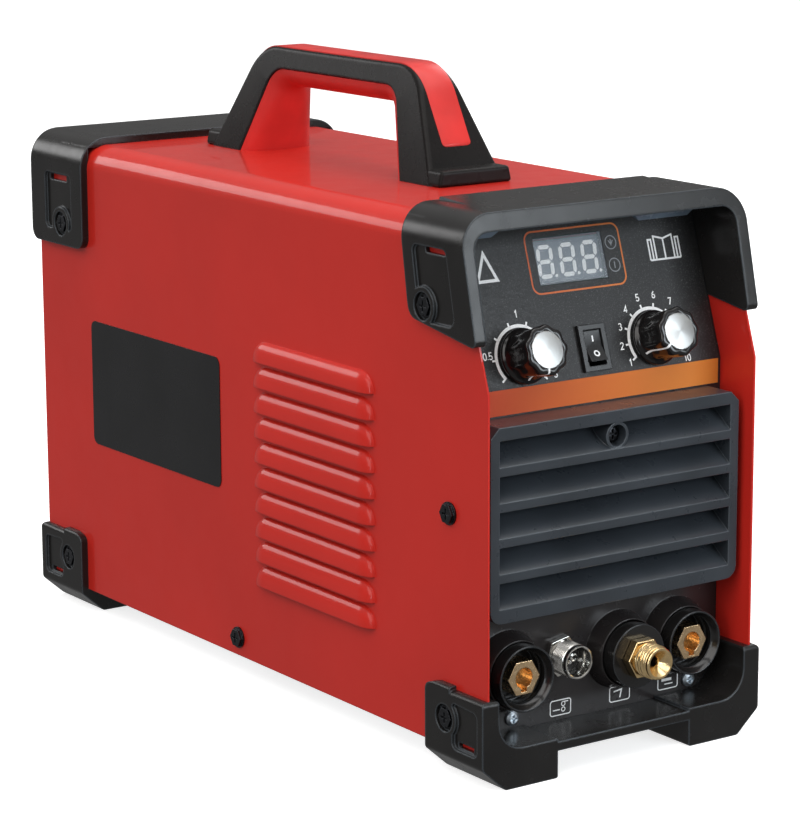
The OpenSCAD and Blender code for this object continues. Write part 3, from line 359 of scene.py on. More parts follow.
# The edge highlight amount sets how strongly highlights are painted along rounded edges
MATERIALS = {  # by the CAD's material slots
    "red_paint": enamel("red_enamel", (0.66, 0.026, 0.017)),
    "zinc_plate": machined("zinc_plate", (0.62, 0.64, 0.66), 0.30, 0.46, axis=1, line=2.5, relief=0.1),
    "black_paint": moulded(
        "black_paint", (0.027, 0.0235, 0.0235), 0.20, 0.28,
        grain=1.4, relief=0.05, level=0.5, edge=0.8,
    ),
    "label_film": moulded("label_film", (0.010, 0.010, 0.011), 0.26, 0.34, grain=1.2, relief=0.05),
    "panel_film": film("panel_film", (0.019, 0.0185, 0.019), (0.12, 0.12, 0.12)),
    "grille_plastic": moulded(
        "grille_plastic", (0.034, 0.040, 0.048), 0.27, 0.32,
        grain=0.4, relief=0.06, level=0.5, edge=0.8, rubbed=0.9,
    ),
    "bumper_plastic": moulded(
        "bumper_plastic", (0.0135, 0.0125, 0.0120), 0.22, 0.28,
        grain=0.4, relief=0.05, level=0.34, edge=1.5, rubbed=0.7,
    ),
    "handle_plastic": moulded(
        "handle_plastic", (0.0105, 0.0094, 0.0090), 0.26, 0.29,
        grain=0.5, relief=0.04, level=0.15, edge=1.2, rubbed=0.5,
    ),
    "handle_red": moulded(
        "handle_red", (0.58, 0.030, 0.026), 0.32, 0.42, grain=0.6, relief=0.12, level=0.35
    ),
    "black_screw": machined(
        "black_screw", (0.05, 0.052, 0.058), 0.24, 0.36, axis=0, line=0.4, relief=0.12, edge=0.5
    ),
    "bright_screw": machined(
        "bright_screw", (0.80, 0.88, 0.95), 0.34, 0.5, axis=1, line=0.3, relief=0.1, edge=0.4
    ),
    "smoked_lens": clear_window("smoked_lens"),
    "digit_module": moulded("digit_module", (0.15, 0.175, 0.20), 0.4, 0.5, grain=0.8, relief=0.1),
    "knob_plastic": moulded(
        "knob_plastic", (0.010, 0.009, 0.009), 0.13, 0.20, grain=1.2, relief=0.05, level=0.5
    ),
    "spun_cap": spun_aluminium("spun_cap"),
    "steel": machined("steel", (0.60, 0.60, 0.60), 0.2, 0.34, axis=2),
    "switch_plastic": moulded(
        "switch_plastic", (0.015, 0.015, 0.016), 0.24, 0.32,
        grain=0.6, relief=0.1, level=0.5, edge=0.6,
    ),
    "rocker_red": moulded(
        "rocker_red", (0.42, 0.02, 0.018), 0.22, 0.3, grain=0.8, relief=0.08, level=0.5, edge=0.6
    ),
    "connector_plastic": moulded(
        "connector_plastic", BLACK, 0.14, 0.20,
        grain=0.9, relief=0.08, level=0.5, edge=0.6, rubbed=0.7,
    ),
    "brass": machined(
        "brass", (0.88, 0.63, 0.37), 0.18, 0.30, axis=1, line=0.25, relief=0.12, edge=0.5
    ),
    "nickel": machined("nickel", (0.74, 0.72, 0.68), 0.12, 0.24, axis=1, line=0.25, relief=0.12),
    "silver_pin": machined("silver_pin", (0.85, 0.85, 0.83), 0.15, 0.25, axis=1),
    "fan_plastic": moulded("fan_plastic", BLACK, 0.42, 0.55, grain=0.5, relief=0.25),
    "heatsink_metal": machined(
        "heatsink_metal", (0.72, 0.73, 0.74), 0.28, 0.4, axis=1, line=0.5, relief=0.2
    ),
    "circuit_board": circuit("circuit_board"),
    "capacitor_sleeve": moulded(
        "capacitor_sleeve", (0.03, 0.07, 0.20), 0.2, 0.3, grain=1.0, relief=0.1
    ),
    "ferrite": moulded("ferrite", (0.03, 0.03, 0.032), 0.5, 0.65, grain=0.8, relief=0.35),
    "copper": winding("copper"),
    "hose": moulded("hose", (0.62, 0.60, 0.52), 0.18, 0.3, grain=1.2, relief=0.06),
}
# The white print glows a little: painted light that brightens it where it lies in shade
WHITE_INK = ink("white_ink", (0.88, 0.88, 0.88), painted_glow=0.12)
GREY_INK = ink("grey_ink", (0.30, 0.31, 0.33))
ORANGE_INK = ink("orange_ink", (0.58, 0.060, 0.022), (0.82, 0.27, 0.045))
# The display's white segments glow: painted light, as the digits are not lit
SEGMENT_INK = ink("segment_ink", (0.80, 0.80, 0.78), painted_glow=0.45)
# The ribs are the hood's black plastic painted a pale bluish grey: painted reflection, so their faces
# look lit
HOOD_RIB_PAINTED_SHEEN = moulded(
    "hood_rib", (0.21, 0.27, 0.34), 0.22, 0.3, grain=0.6, relief=0.1, level=0.6
)
TURNED_BRASS = machined(
    "turned_brass", (0.90, 0.66, 0.34), 0.14, 0.24, axis=2, line=0.2, relief=0.12
)
# Brass darkened nearly to black: painted shade deep inside the gas outlet's bore
BORE_PAINTED_SHADE = machined("bore_painted_shade", (0.05, 0.03, 0.012), 0.5, 0.6, axis=2, line=0.2, relief=0.12)
TURNED_NICKEL = machined(
    "turned_nickel", (0.76, 0.74, 0.70), 0.10, 0.20, axis=2, line=0.2, relief=0.12
)


# ---------- placing and building ----------


def basis(x, y, z, origin):
    """Matrix from three unit axes and an origin in millimetres."""
    m = Matrix((x, y, z)).transposed().to_4x4()
    m.translation = Vector(origin) * MM
    return m


def on_panel(x, s, h=0.0):
    """On the tilted control panel: local x right, y up the panel, z out of it."""
    up = Vector((0.0, math.sin(TILT), math.cos(TILT)))
    out = Vector((0.0, -math.cos(TILT), math.sin(TILT)))
    return basis((1, 0, 0), up, out, Vector((x, PANEL_Y, KNEE_Z)) + up * s + out * h)


def on_front(x, z, y=PANEL_Y):
    """On the upright front: local z points forwards."""
    return basis((1, 0, 0), (0, 0, 1), (0, -1, 0), (x, y, z))


def on_rear(x, z):
    """On the rear panel: local z points backwards."""
    return basis((-1, 0, 0), (0, 0, 1), (0, 1, 0), (x, REAR_Y, z))


class Shape:
    """Vertices and faces in millimetres, gathered from simple builders."""

    def __init__(self):
        self.verts, self.faces = [], []

    def add(self, verts, faces, matrix=None):
        start = len(self.verts)
        for v in verts:
            v = Vector(v)
            self.verts.append(matrix @ v if matrix is not None else v)
        self.faces += [tuple(start + i for i in f) for f in faces]
        return self


def band(low, high, closed=True):
    """Quads, or a fan where one side is a point, between two rings of indices."""
    n = max(len(low), len(high))
    faces = []
    for i in range(n if closed else n - 1):
        j = (i + 1) % n
        if len(low) == 1:
            faces.append((low[0], high[j], high[i]))
        elif len(high) == 1:
            faces.append((low[i], low[j], high[0]))
        else:
            faces.append((low[i], low[j], high[j], high[i]))
    return faces


def lathe(profile, segments=72, ripple=None):
    """Turns (radius, height) points round z. ripple(angle, height) is taken off the radius."""
    verts, rings, faces = [], [], []
    for r, z in profile:
        if r == 0:
            rings.append([len(verts)])
            verts.append((0.0, 0.0, z))
            continue
        ring = []
        for i in range(segments):
            a = math.tau * i / segments
            radius = r - (ripple(a, z) if ripple else 0.0)
            ring.append(len(verts))
            verts.append((radius * math.cos(a), radius * math.sin(a), z))
        rings.append(ring)
    for low, high in zip(rings, rings[1:]):
        faces += band(low, high)
    return verts, faces


def prism(outline, z0, z1):
    """Solid between two heights over a plane outline."""
    n = len(outline)
    verts = [(x, y, z0) for x, y in outline] + [(x, y, z1) for x, y in outline]
    faces = [tuple(range(n))[::-1], tuple(range(n, 2 * n))]
    faces += [(i, (i + 1) % n, n + (i + 1) % n, n + i) for i in range(n)]
    return verts, faces


def circle(r, n=32, x=0.0, y=0.0, start=0.0, turn=math.tau, open_ended=False):
    """Points of a circle, or of an arc with both ends."""
    count = n + 1 if open_ended else n
    return [
        (x + r * math.cos(start + turn * i / n), y + r * math.sin(start + turn * i / n))
        for i in range(count)
    ]


def arc(r, first, last, x=0.0, y=0.0, n=24):
    """Points of an arc between two angles in degrees."""
    a, b = math.radians(first), math.radians(last)
    return circle(r, n, x, y, a, b - a, True)


def rectangle(x0, y0, x1, y1):
    """Corners of a rectangle."""
    return [(x0, y0), (x1, y0), (x1, y1), (x0, y1)]


def rounded_box(x0, y0, x1, y1, r, n=6):
    """Outline of a rectangle with rounded corners."""
    return (
        arc(r, 180, 270, x0 + r, y0 + r, n)
        + arc(r, 270, 360, x1 - r, y0 + r, n)
        + arc(r, 0, 90, x1 - r, y1 - r, n)
        + arc(r, 90, 180, x0 + r, y1 - r, n)
    )


def stroke(points, width, z0, z1, closed=False):
    """A drawn line of even width, with mitred corners, between two heights."""
    n = len(points)
    left, right = [], []
    for i, p in enumerate(points):
        p = Vector(p)
        before = Vector(points[i - 1]) if closed or i else None
        after = Vector(points[(i + 1) % n]) if closed or i < n - 1 else None
        d0 = (p - before).normalized() if before is not None else None
        d1 = (after - p).normalized() if after is not None else None
        d0, d1 = d0 or d1, d1 or d0
        normal = Vector((-(d0 + d1).y, (d0 + d1).x)).normalized()
        reach = width / 2 / max(0.35, normal.dot(Vector((-d0.y, d0.x))))
        left.append(p + normal * reach)
        right.append(p - normal * reach)
    verts, faces = [], []
    for i in range(n):
        verts += [(*left[i], z0), (*left[i], z1), (*right[i], z1), (*right[i], z0)]
    for i in range(n if closed else n - 1):
        a, b = 4 * i, 4 * ((i + 1) % n)
        faces += [(a + k, b + k, b + (k + 1) % 4, a + (k + 1) % 4) for k in range(4)]
    if not closed:
        faces += [(3, 2, 1, 0), (4 * n - 4, 4 * n - 3, 4 * n - 2, 4 * n - 1)]
    return verts, faces


def thread(r, depth, pitch, z0, z1, segments=72, steps=8):
    """Helical thread surface of crest radius r."""
    rows = max(2, int((z1 - z0) / pitch * steps))
    verts, faces = [], []
    for k in range(rows + 1):
        z = z0 + (z1 - z0) * k / rows
        run_out = min(1.0, (z - z0) / (0.6 * pitch), (z1 - z) / (0.6 * pitch))
        for i in range(segments):
            phase = (z / pitch - i / segments) % 1.0
            height = 1.0 - abs(2.0 * phase - 1.0)
            radius = r - depth + depth * min(1.0, height * 1.25) * run_out
            a = math.tau * i / segments
            verts.append((radius * math.cos(a), radius * math.sin(a), z))
    for k in range(rows):
        low = [k * segments + i for i in range(segments)]
        faces += band(low, [i + segments for i in low])
    return verts, faces


def finish_piece(obj, material, body, replaces, angle):
    """Smooth shading with sharp edges kept, material, body and what the piece stands for."""
    mesh = obj.data
    mesh.materials.clear()
    mesh.materials.append(material)
    for polygon in mesh.polygons:
        polygon.use_smooth = True
    mesh.set_sharp_from_angle(angle=math.radians(angle))
    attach(obj, body)
    if replaces:
        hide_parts(*replaces)


def rounded_edges(obj, width, angle):
    """Bevel modifier on the edges sharper than angle."""
    edges = obj.modifiers.new("rounded_edges", "BEVEL")
    edges.width = width * MM
    edges.segments = 3
    edges.limit_method = "ANGLE"
    edges.angle_limit = math.radians(angle)
    edges.harden_normals = True


def flat_faces(obj):
    """Normals weighted by face area, so that large flat faces stay flat."""
    normals = obj.modifiers.new("flat_faces", "WEIGHTED_NORMAL")
    normals.weight = 100
    normals.keep_sharp = True


def piece(
    name, shape, slot, material=None, body="case", replaces=(), place=None, bevel=None,
    angle=SMOOTH_ANGLE,
):
    """A new piece from a Shape, in its slot's material unless another is given."""
    mesh = bpy.data.meshes.new(name)
    mesh.from_pydata([v * MM for v in shape.verts], [], shape.faces)
    bm = bmesh.new()
    bm.from_mesh(mesh)
    bmesh.ops.recalc_face_normals(bm, faces=bm.faces)
    bm.to_mesh(mesh)
    bm.free()
    obj = bpy.data.objects.new(name, mesh)
    bpy.context.scene.collection.objects.link(obj)
    if place is not None:
        obj.matrix_world = place
    finish_piece(obj, material or MATERIALS[slot], body, replaces, angle)
    if bevel:
        rounded_edges(obj, bevel, angle)
    return obj


def from_cad(node, angle=SMOOTH_ANGLE):
    """A smooth-shaded copy of a CAD node, which stands for it."""
    source = frame["nodes"][node]
    bm = bmesh.new()
    bm.from_mesh(source.data)
    bmesh.ops.remove_doubles(bm, verts=bm.verts, dist=2e-6)
    bm.verts.index_update()
    mesh = bpy.data.meshes.new(node + "_look")
    mesh.from_pydata([v.co for v in bm.verts], [], [[v.index for v in f.verts] for f in bm.faces])
    bm.free()
    obj = bpy.data.objects.new(node + "_look", mesh)
    bpy.context.scene.collection.objects.link(obj)
    slot = SLOT_OF[node]
    finish_piece(obj, MATERIALS[slot], source["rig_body"], [node], angle)
    flat_faces(obj)


# ---------- case ----------


def build_case():
    """Outer case, as smooth-shaded copies of the CAD."""
    for node in (
        "shell_cover", "base_tray", "side_labels", "front_panel", "control_overlay",
        "front_grille", "grille_screw", "front_hood", "front_lower_bumper",
        "rear_upper_bumper", "rear_lower_bumper", "rear_panel", "case_screws", "panel_screws",
    ):
        from_cad(node)


def build_hood_ribs():
    """Wedge-shaped ribs under the hood, at the top of the control panel, in the hood's plastic painted
    paler as reflected light.
    """
    low, high, flat, proud = 66.3, 69.0, 0.4, 3.6
    shape = Shape()
    for side in (-1, 1):
        x0, x1 = 37.5 * side, 72.5 * side
        verts = [(41.5 * side, low, flat), (70.0 * side, low, flat), (x1, high, proud)]
        verts += [(x0, high, proud), (x0, high, flat), (x1, high, flat)]
        faces = [(0, 1, 2, 3), (3, 2, 5, 4), (0, 4, 5, 1), (0, 3, 4), (1, 5, 2)]
        shape.add(verts, faces)
    piece("hood_ribs", shape, "bumper_plastic", HOOD_RIB_PAINTED_SHEEN, place=on_panel(0, 0), bevel=0.3)


# ---------- handle ----------

HANDLE_Y = 16.0
HANDLE_TOP = 301.0
FOOT_HALF = 21.1  # half width of the handle at the cover
GRIP_HALF = 8.6  # half width at its top


def arch(low_half, top_z, top_half, r):
    """Points (y, z) of an arch over the cover, front foot to rear foot, evenly numbered."""
    lean = math.atan2(low_half - top_half, top_z - DECK_Z)
    turn = math.pi / 2 - lean
    cut = r * math.tan(turn / 2)
    bend_y = top_half + cut * math.sin(lean)
    bend_z = top_z - cut * math.cos(lean)
    half = [
        (low_half + (bend_y - low_half) * i / 14, DECK_Z + (bend_z - DECK_Z) * i / 14)
        for i in range(14)
    ]
    for i in range(15):
        a = lean + turn * i / 14
        half.append((top_half - cut + r * math.cos(a), top_z - r + r * math.sin(a)))
    half += [((top_half - cut) * (1 - i / 8), top_z) for i in range(1, 9)]
    return [(-y, z) for y, z in half] + [(y, z) for y, z in reversed(half[:-1])]


OUTER = arch(96.7, HANDLE_TOP, 67.8, 25.0)
INNER = arch(70.0, 290.0, 53.0, 13.0)
CORE = arch(61.0, 281.0, 46.0, 8.0)


def taper(z):
    """Half width of the handle's sides at a height."""
    return FOOT_HALF + (GRIP_HALF - FOOT_HALF) * (z - DECK_Z) / (HANDLE_TOP - DECK_Z)


def sweep(rings, closed_ring=True, caps=False):
    """Surface through rings of points that all have the same count."""
    verts, faces = [], []
    n = len(rings[0])
    for ring in rings:
        verts += ring
    for k in range(len(rings) - 1):
        low = [k * n + i for i in range(n)]
        faces += band(low, [i + n for i in low], closed_ring)
    if caps:
        faces.append(tuple(range(n)))
        faces.append(tuple(range(len(verts) - n, len(verts))))
    return verts, faces


def frame_ring(a, b):
    """Cross-section of the black arch from its inner edge a to its outer edge b."""
    inset, r, chamfer = 0.3, 2.4, 0.8
    a, b = Vector(a), Vector(b)
    u = (b - a).normalized()
    depth = (b - a).length - inset

    def width(distance):
        return taper(a.y + u.y * distance)

    outer = width(depth - r)
    side = [(width(chamfer) - chamfer, 0.0), (width(chamfer), chamfer)]
    side += [
        (outer - r + r * math.cos(t), depth - r + r * math.sin(t))
        for t in (math.radians(v) for v in range(0, 91, 15))
    ]
    side.append((min(GRIP_HALF, (outer - r) * 0.9), depth))
    points = side + [(-x, t) for x, t in reversed(side)]
    return [(x, HANDLE_Y + a.x + u.x * t, a.y + u.y * t) for x, t in points]


def along(path, distance):
    """Point and outward direction at a distance along a path, or beyond its end."""
    for p, q in zip(path, path[1:]):
        p, q = Vector(p), Vector(q)
        step = (q - p).length
        if distance <= step or q == Vector(path[-1]):
            d = (q - p).normalized()
            return p + d * distance, Vector((-d.y, d.x))
        distance -= step


def build_handle():
    """Black arch and feet, red grip and red inlay."""
    shape = Shape().add(*sweep([frame_ring(a, b) for a, b in zip(INNER, OUTER)], caps=True))
    arch_piece = piece(
        "handle_arch", shape, "handle_plastic", replaces=["handle_frame"], angle=50
    )
    flat_faces(arch_piece)
    build_feet()
    build_core()
    build_strip()


def build_feet():
    """Pads the arch stands on, a little narrower than its legs."""
    foot_top, inset = 255.6, 0.15
    feet = Shape()
    for end in (-1, 1):
        y0, y1 = sorted((HANDLE_Y + end * 74.0, HANDLE_Y + end * 102.5))
        verts = []
        for z in (DECK_Z, foot_top):
            w = taper(z) - inset
            verts += [(x, y, z) for x, y in rectangle(-w, y0, w, y1)]
        feet.add(verts, [(3, 2, 1, 0), (4, 5, 6, 7)] + band([0, 1, 2, 3], [4, 5, 6, 7]))
    piece("handle_feet", feet, "handle_plastic", replaces=["handle_frame"], bevel=1.6)


def build_core():
    """Red grip: half-elliptic bulge inside the arch."""
    columns, inset = 24, 0.9
    rings = []
    for a, c in zip(INNER, CORE):
        a, c = Vector(a), Vector(c)
        half = taper(a.y) - inset
        ring = []
        for j in range(columns + 1):
            t = -math.cos(math.pi * j / columns)
            bulge = math.sqrt(max(0.0, 1.0 - t * t))
            p = a + (c - a) * bulge
            ring.append((half * t, HANDLE_Y + p.x, p.y))
        rings.append(ring)
    shape = Shape().add(*sweep(rings, closed_ring=False))
    piece("handle_grip", shape, "handle_red", replaces=["handle_core"], angle=60)


def build_strip():
    """Red inlay over the top and down both legs, with rounded ends."""
    end_z, half, corner, edge = 264.5, 8.1, 2.2, 0.25
    legs = [i for i, p in enumerate(OUTER) if p[1] >= end_z]
    path = OUTER[legs[0] - 1 : legs[-1] + 2]
    first = (end_z - path[0][1]) / (path[1][1] - path[0][1])
    path[0] = tuple(Vector(path[0]).lerp(Vector(path[1]), first))
    path[-1] = (-path[0][0], path[0][1])
    total = sum((Vector(q) - Vector(p)).length for p, q in zip(path, path[1:]))
    near = [0.0, 0.15, 0.5, 1.0, 1.6, corner]
    stations = near + [corner + (total - 2 * corner) * i / 70 for i in range(1, 70)]
    stations += [total - d for d in reversed(near)]
    rings = []
    for d in stations:
        end = min(d, total - d)
        w = half
        if end < corner:
            w = half - corner + math.sqrt(max(0.0, corner**2 - (corner - end) ** 2))
        point, out = along(path, d)
        lift = 0.0 if end > 0.2 else -0.2
        side = [(w - edge, lift), (w, lift - 0.12), (w, -0.9)]
        profile = [(-x, t) for x, t in reversed(side)] + side
        rings.append(
            [(x, HANDLE_Y + (point + out * t).x, (point + out * t).y) for x, t in profile]
        )
    shape = Shape().add(*sweep(rings, closed_ring=False, caps=True))
    piece("handle_inlay", shape, "handle_red", replaces=["handle_strip"], angle=50)


# ---------- controls ----------

LOBES = 9
SKIRT_TOP = 3.2


def knob_ripple(angle, z):
    """Shallow scallops round the grip, none on the skirt."""
    if z < SKIRT_TOP:
        return 0.0
    return 0.42 * (1.0 - math.cos(LOBES * angle)) * min(1.0, (z - SKIRT_TOP) / 2.5)


KNOB_PROFILE = [  # radius and height
    (4.2, 0.0), (12.2, 0.0), (12.5, 0.3), (12.5, 1.7), (12.2, 2.1), (11.6, 2.4), (11.0, 3.1),
    (10.5, 4.4), (10.4, 6.5), (10.7, 9.0), (11.1, 12.0), (11.3, 15.0), (11.35, 17.6),
    (11.15, 18.2), (10.6, 18.6), (9.6, 18.75), (8.6, 18.75), (8.42, 18.6), (8.4, 17.5), (0, 17.5),
]
KNOB_LINE = KNOB_PROFILE[6:17]  # the part of the profile that the white line follows


def knob_pointer(angle):
    """White line across the face and down the side of a knob."""
    proud, face_z = 0.06, 18.3
    rings = []
    for r, z in KNOB_LINE:
        radius = r - knob_ripple(angle, z) + proud
        height = z + (proud if z > face_z else 0.0)
        rings.append(
            [
                (
                    radius * math.cos(angle) - offset * math.sin(angle),
                    radius * math.sin(angle) + offset * math.cos(angle),
                    height,
                )
                for offset in (-0.5, 0.5)
            ]
        )
    return sweep(rings, closed_ring=False)


def build_knobs():
    """Scalloped grips with a pointer line and a spun disc; pointer angles in degrees."""
    for x, side, pointer in ((KNOB_X, "current", 218.0), (-KNOB_X, "timer", 262.0)):
        body = f"{side}_knob_group"
        place = on_panel(x, KNOB_S, KNOB_GAP)
        grip = Shape().add(*lathe(KNOB_PROFILE, 144, knob_ripple))
        piece(
            f"{side}_knob_grip", grip, "knob_plastic", body=body, replaces=[f"{side}_knob"],
            place=place, angle=46,
        )
        line = Shape().add(*knob_pointer(math.radians(pointer)))
        piece(
            f"{side}_knob_line", line, "knob_plastic", WHITE_INK, body, place=place, angle=60
        )
        cap = [(0, 0), (8.3, 0), (8.35, 0.3), (8.35, 1.0), (8.1, 1.25), (7.8, 1.3), (0, 1.3)]
        piece(
            f"{side}_knob_disc", Shape().add(*lathe(cap, 96)), "spun_cap", body=body,
            replaces=[f"{side}_knob_cap"], place=on_panel(x, KNOB_S, KNOB_TOP - 1.2),
        )


# Dials: first tick, last tick and step, in degrees
CURRENT_DIAL = (212.0, -32.0, 27.1)
TIMER_DIAL = (218.0, -44.0, 37.4)


def dial(shape, x, first, last, step):
    """Thick arc with ticks round a knob."""
    arc_r, tick_from, tick_to = 13.75, 13.2, 16.1
    shape.add(*stroke(arc(arc_r, first, last, x, KNOB_S, 48), 1.5, *FILM_PRINT))
    count = round(abs(last - first) / step)
    for i in range(count + 1):
        a = math.radians(first + (last - first) * i / count)
        ends = [(x + r * math.cos(a), KNOB_S + r * math.sin(a)) for r in (tick_from, tick_to)]
        shape.add(*stroke(ends, 0.9, *FILM_PRINT))


def open_book(x0, y0, x1, y1):
    """Strokes of an open-book sign: base line, spine, page edges and a page on each side."""
    middle = (x0 + x1) / 2
    lines = [[(x0, y0), (x1, y0)], [(middle, y0), (middle, y1)]]
    for edge, inwards in ((x0, 1), (x1, -1)):
        second, page = edge + 1.8 * inwards, edge + 3.5 * inwards
        lines.append([(edge, y0), (edge, y1), (second, y1), (second, y0)])
        lines.append([(page, y0), (page, y1 + 1.4), (middle, y1)])
    return lines


def build_panel_print():
    """White, grey and orange printing on the control film."""
    place = on_panel(0, 0)
    white = Shape()
    dial(white, KNOB_X, *CURRENT_DIAL)
    dial(white, -KNOB_X, *TIMER_DIAL)
    triangle = [(-52.8, 47.5), (-42.2, 47.5), (-47.5, 59.6)]
    white.add(*stroke(triangle, 1.4, *FILM_PRINT, closed=True))
    for line in open_book(44.3, 47.8, 61.9, 57.2):
        white.add(*stroke(line, 0.85, *FILM_PRINT))
    piece("panel_print_white", white, "panel_film", WHITE_INK, place=place)

    grey = Shape()
    button_x = 23.3
    for y in (58.2, 47.9):
        grey.add(*stroke(circle(3.0, 32, button_x, y), 0.45, *FILM_PRINT, closed=True))
        grey.add(*stroke([(button_x, y - 1.5), (button_x, y + 1.5)], 0.5, *FILM_PRINT))
    arrow = [(button_x - 1.2, 59.1), (button_x, 57.2), (button_x + 1.2, 59.1)]
    grey.add(*stroke(arrow, 0.45, *FILM_PRINT))
    piece("panel_print_grey", grey, "panel_film", GREY_INK, place=place)

    outline = rounded_box(-24.0, 39.0, 28.5, 66.8, 4.0)
    orange = Shape().add(*stroke(outline, 0.8, *FILM_PRINT, closed=True))
    piece("window_outline", orange, "panel_film", ORANGE_INK, place=place)
    stripe = Shape().add(*prism(rectangle(-72.2, -11.6, 72.2, -0.2), 0, 0.05))
    piece(
        "orange_stripe", stripe, "panel_film", ORANGE_INK,
        place=on_front(0, KNEE_Z, PANEL_Y - FILM + 0.01),
    )


def numeral(figure):
    """Centre lines of a figure one unit tall, and whether they are closed."""
    if figure == "0":
        return [[(0.27 * x, 0.5 * y) for x, y in circle(1.0, 24)]], True
    if figure == "8":
        return [circle(0.22, 20, 0, 0.28), circle(0.27, 20, 0, -0.23)], True
    lines = {
        "1": [[(-0.18, 0.28), (0.06, 0.5), (0.06, -0.5)]],
        "2": [arc(0.25, 170, -40, 0, 0.25, 12) + [(-0.27, -0.5), (0.28, -0.5)]],
        "3": [arc(0.23, 155, -90, 0, 0.27, 12), arc(0.27, 90, -155, 0, -0.23, 12)],
        "4": [[(0.13, -0.5), (0.13, 0.5), (-0.28, -0.2), (0.3, -0.2)]],
        "5": [[(0.24, 0.5), (-0.2, 0.5), (-0.22, 0.0)] + arc(0.28, 125, -150, -0.02, -0.22, 12)],
        "6": [arc(0.26, -180, 180, 0, -0.24, 20) + [(-0.2, 0.12), (0.12, 0.5)]],
        "7": [[(-0.27, 0.5), (0.27, 0.5), (-0.06, -0.5)]],
        "9": [arc(0.26, 0, 360, 0, 0.24, 20) + [(0.2, -0.12), (-0.12, -0.5)]],
        ".": [[(0.0, -0.5), (0.0, -0.38)]],
    }
    return lines[figure], False


def build_dial_numbers():
    """Numbers round the dials."""
    tall, weight, pitch = 3.0, 0.5, 2.1
    first, last, step = CURRENT_DIAL
    right = [(str(n), first - step * (n - 1), 17.4 + 0.45 * min(n, 7)) for n in range(1, 10)]
    right.append(("10", last, 20.5))
    left = [("0.5", 173.0, 18.2), ("1", 87.0, 18.9), ("2", 22.0, 18.9), ("3", -30.0, 18.9)]
    shape = Shape()
    for x, marks in ((KNOB_X, right), (-KNOB_X, left)):
        for text, angle, r in marks:
            a = math.radians(angle)
            spacing = 0.75 * pitch if "." in text else pitch
            for i, figure in enumerate(text):
                shift = (i - (len(text) - 1) / 2) * spacing
                place = Vector((x + r * math.cos(a) + shift, KNOB_S + r * math.sin(a)))
                lines, closed = numeral(figure)
                for line in lines:
                    points = [place + Vector(p) * tall for p in line]
                    shape.add(*stroke(points, weight, *FILM_PRINT, closed=closed))
    piece("dial_numbers", shape, "panel_film", WHITE_INK, place=on_panel(0, 0))


SEGMENTS = [  # centre lines, in half digit widths and heights
    [(-1, 1), (1, 1)], [(1, 1), (1, 0)], [(1, 0), (1, -1)], [(-1, -1), (1, -1)],
    [(-1, 0), (-1, -1)], [(-1, 1), (-1, 0)], [(-1, 0), (1, 0)],
]


def digit(shape, x):
    """Seven hexagonal segments and a point, centred at x."""
    half_w, half_h, width, gap, slant = 3.5, 6.6, 1.9, 0.35, 0.07
    raised = 0.08
    for line in SEGMENTS:
        a, b = (Vector((x + u * half_w, v * half_h)) for u, v in line)
        d = (b - a).normalized()
        a, b = a + d * gap, b - d * gap
        n = Vector((-d.y, d.x)) * width / 2
        t = d * width / 2
        outline = [a, a + t + n, b - t + n, b, b - t - n, a + t - n]
        shape.add(*prism([(p.x + slant * p.y, p.y) for p in outline], 0.0, raised))
    dot = circle(0.75, 16, x + half_w + 1.9 - slant * half_h, -half_h)
    shape.add(*prism(dot, 0.0, raised))


def build_display():
    """Digits on the CAD's module, under the smoked window."""
    pitch, middle = 12.4, 0.2
    digits = Shape()
    for i in (-1, 0, 1):
        digit(digits, i * pitch + middle)
    piece("display_digits", digits, "digit_module", SEGMENT_INK, place=on_panel(*WINDOW, -2.2))
    half_w, half_h = WINDOW_HALF
    lens = Shape().add(*prism(rectangle(-half_w, -half_h, half_w, half_h), 0.0, 0.45))
    piece(
        "display_window", lens, "smoked_lens", replaces=["display_lens"],
        place=on_panel(*WINDOW, -0.1), bevel=0.2,
    )
    from_cad("digit_display")


def tilted(place, pivot, angle):
    """A placing turned about a pivot line along local x at the height pivot."""
    lift = Matrix.Translation((0, 0, pivot * MM))
    return place @ lift @ Matrix.Rotation(math.radians(angle), 4, "X")


def build_switches():
    """Both rocker switches, with a line and a ring on the two ends of each rocker."""
    for switch in ("mode_switch", "power_switch"):
        from_cad(f"{switch}_frame")
        from_cad(f"{switch}_rocker")
    rest_tip, rise, drop = -10.0, 3.1, 1.5
    for name, place, pivot, half in (
        ("mode", on_panel(*MODE_SWITCH, FILM), -2.0, 7.2),
        ("power", on_rear(*POWER_SWITCH), -1.0, 12.2),
    ):
        base = tilted(place, pivot, rest_tip) @ Matrix.Translation((0, 0, rise * MM))
        slope = math.atan2(drop, half)
        line = stroke([(0, half * 0.30), (0, half * 0.68)], 0.8, *FACE_PRINT)
        ring = stroke(circle(half * 0.17, 28, 0, -half * 0.5), 0.7, *FACE_PRINT, closed=True)
        for label, sign, turn in (("on", line, slope), ("off", ring, -slope)):
            piece(
                f"{name}_rocker_{label}", Shape().add(*sign), "switch_plastic", WHITE_INK,
                f"{name}_rocker_group", place=base @ Matrix.Rotation(turn, 4, "X"),
            )


# ---------- connectors ----------


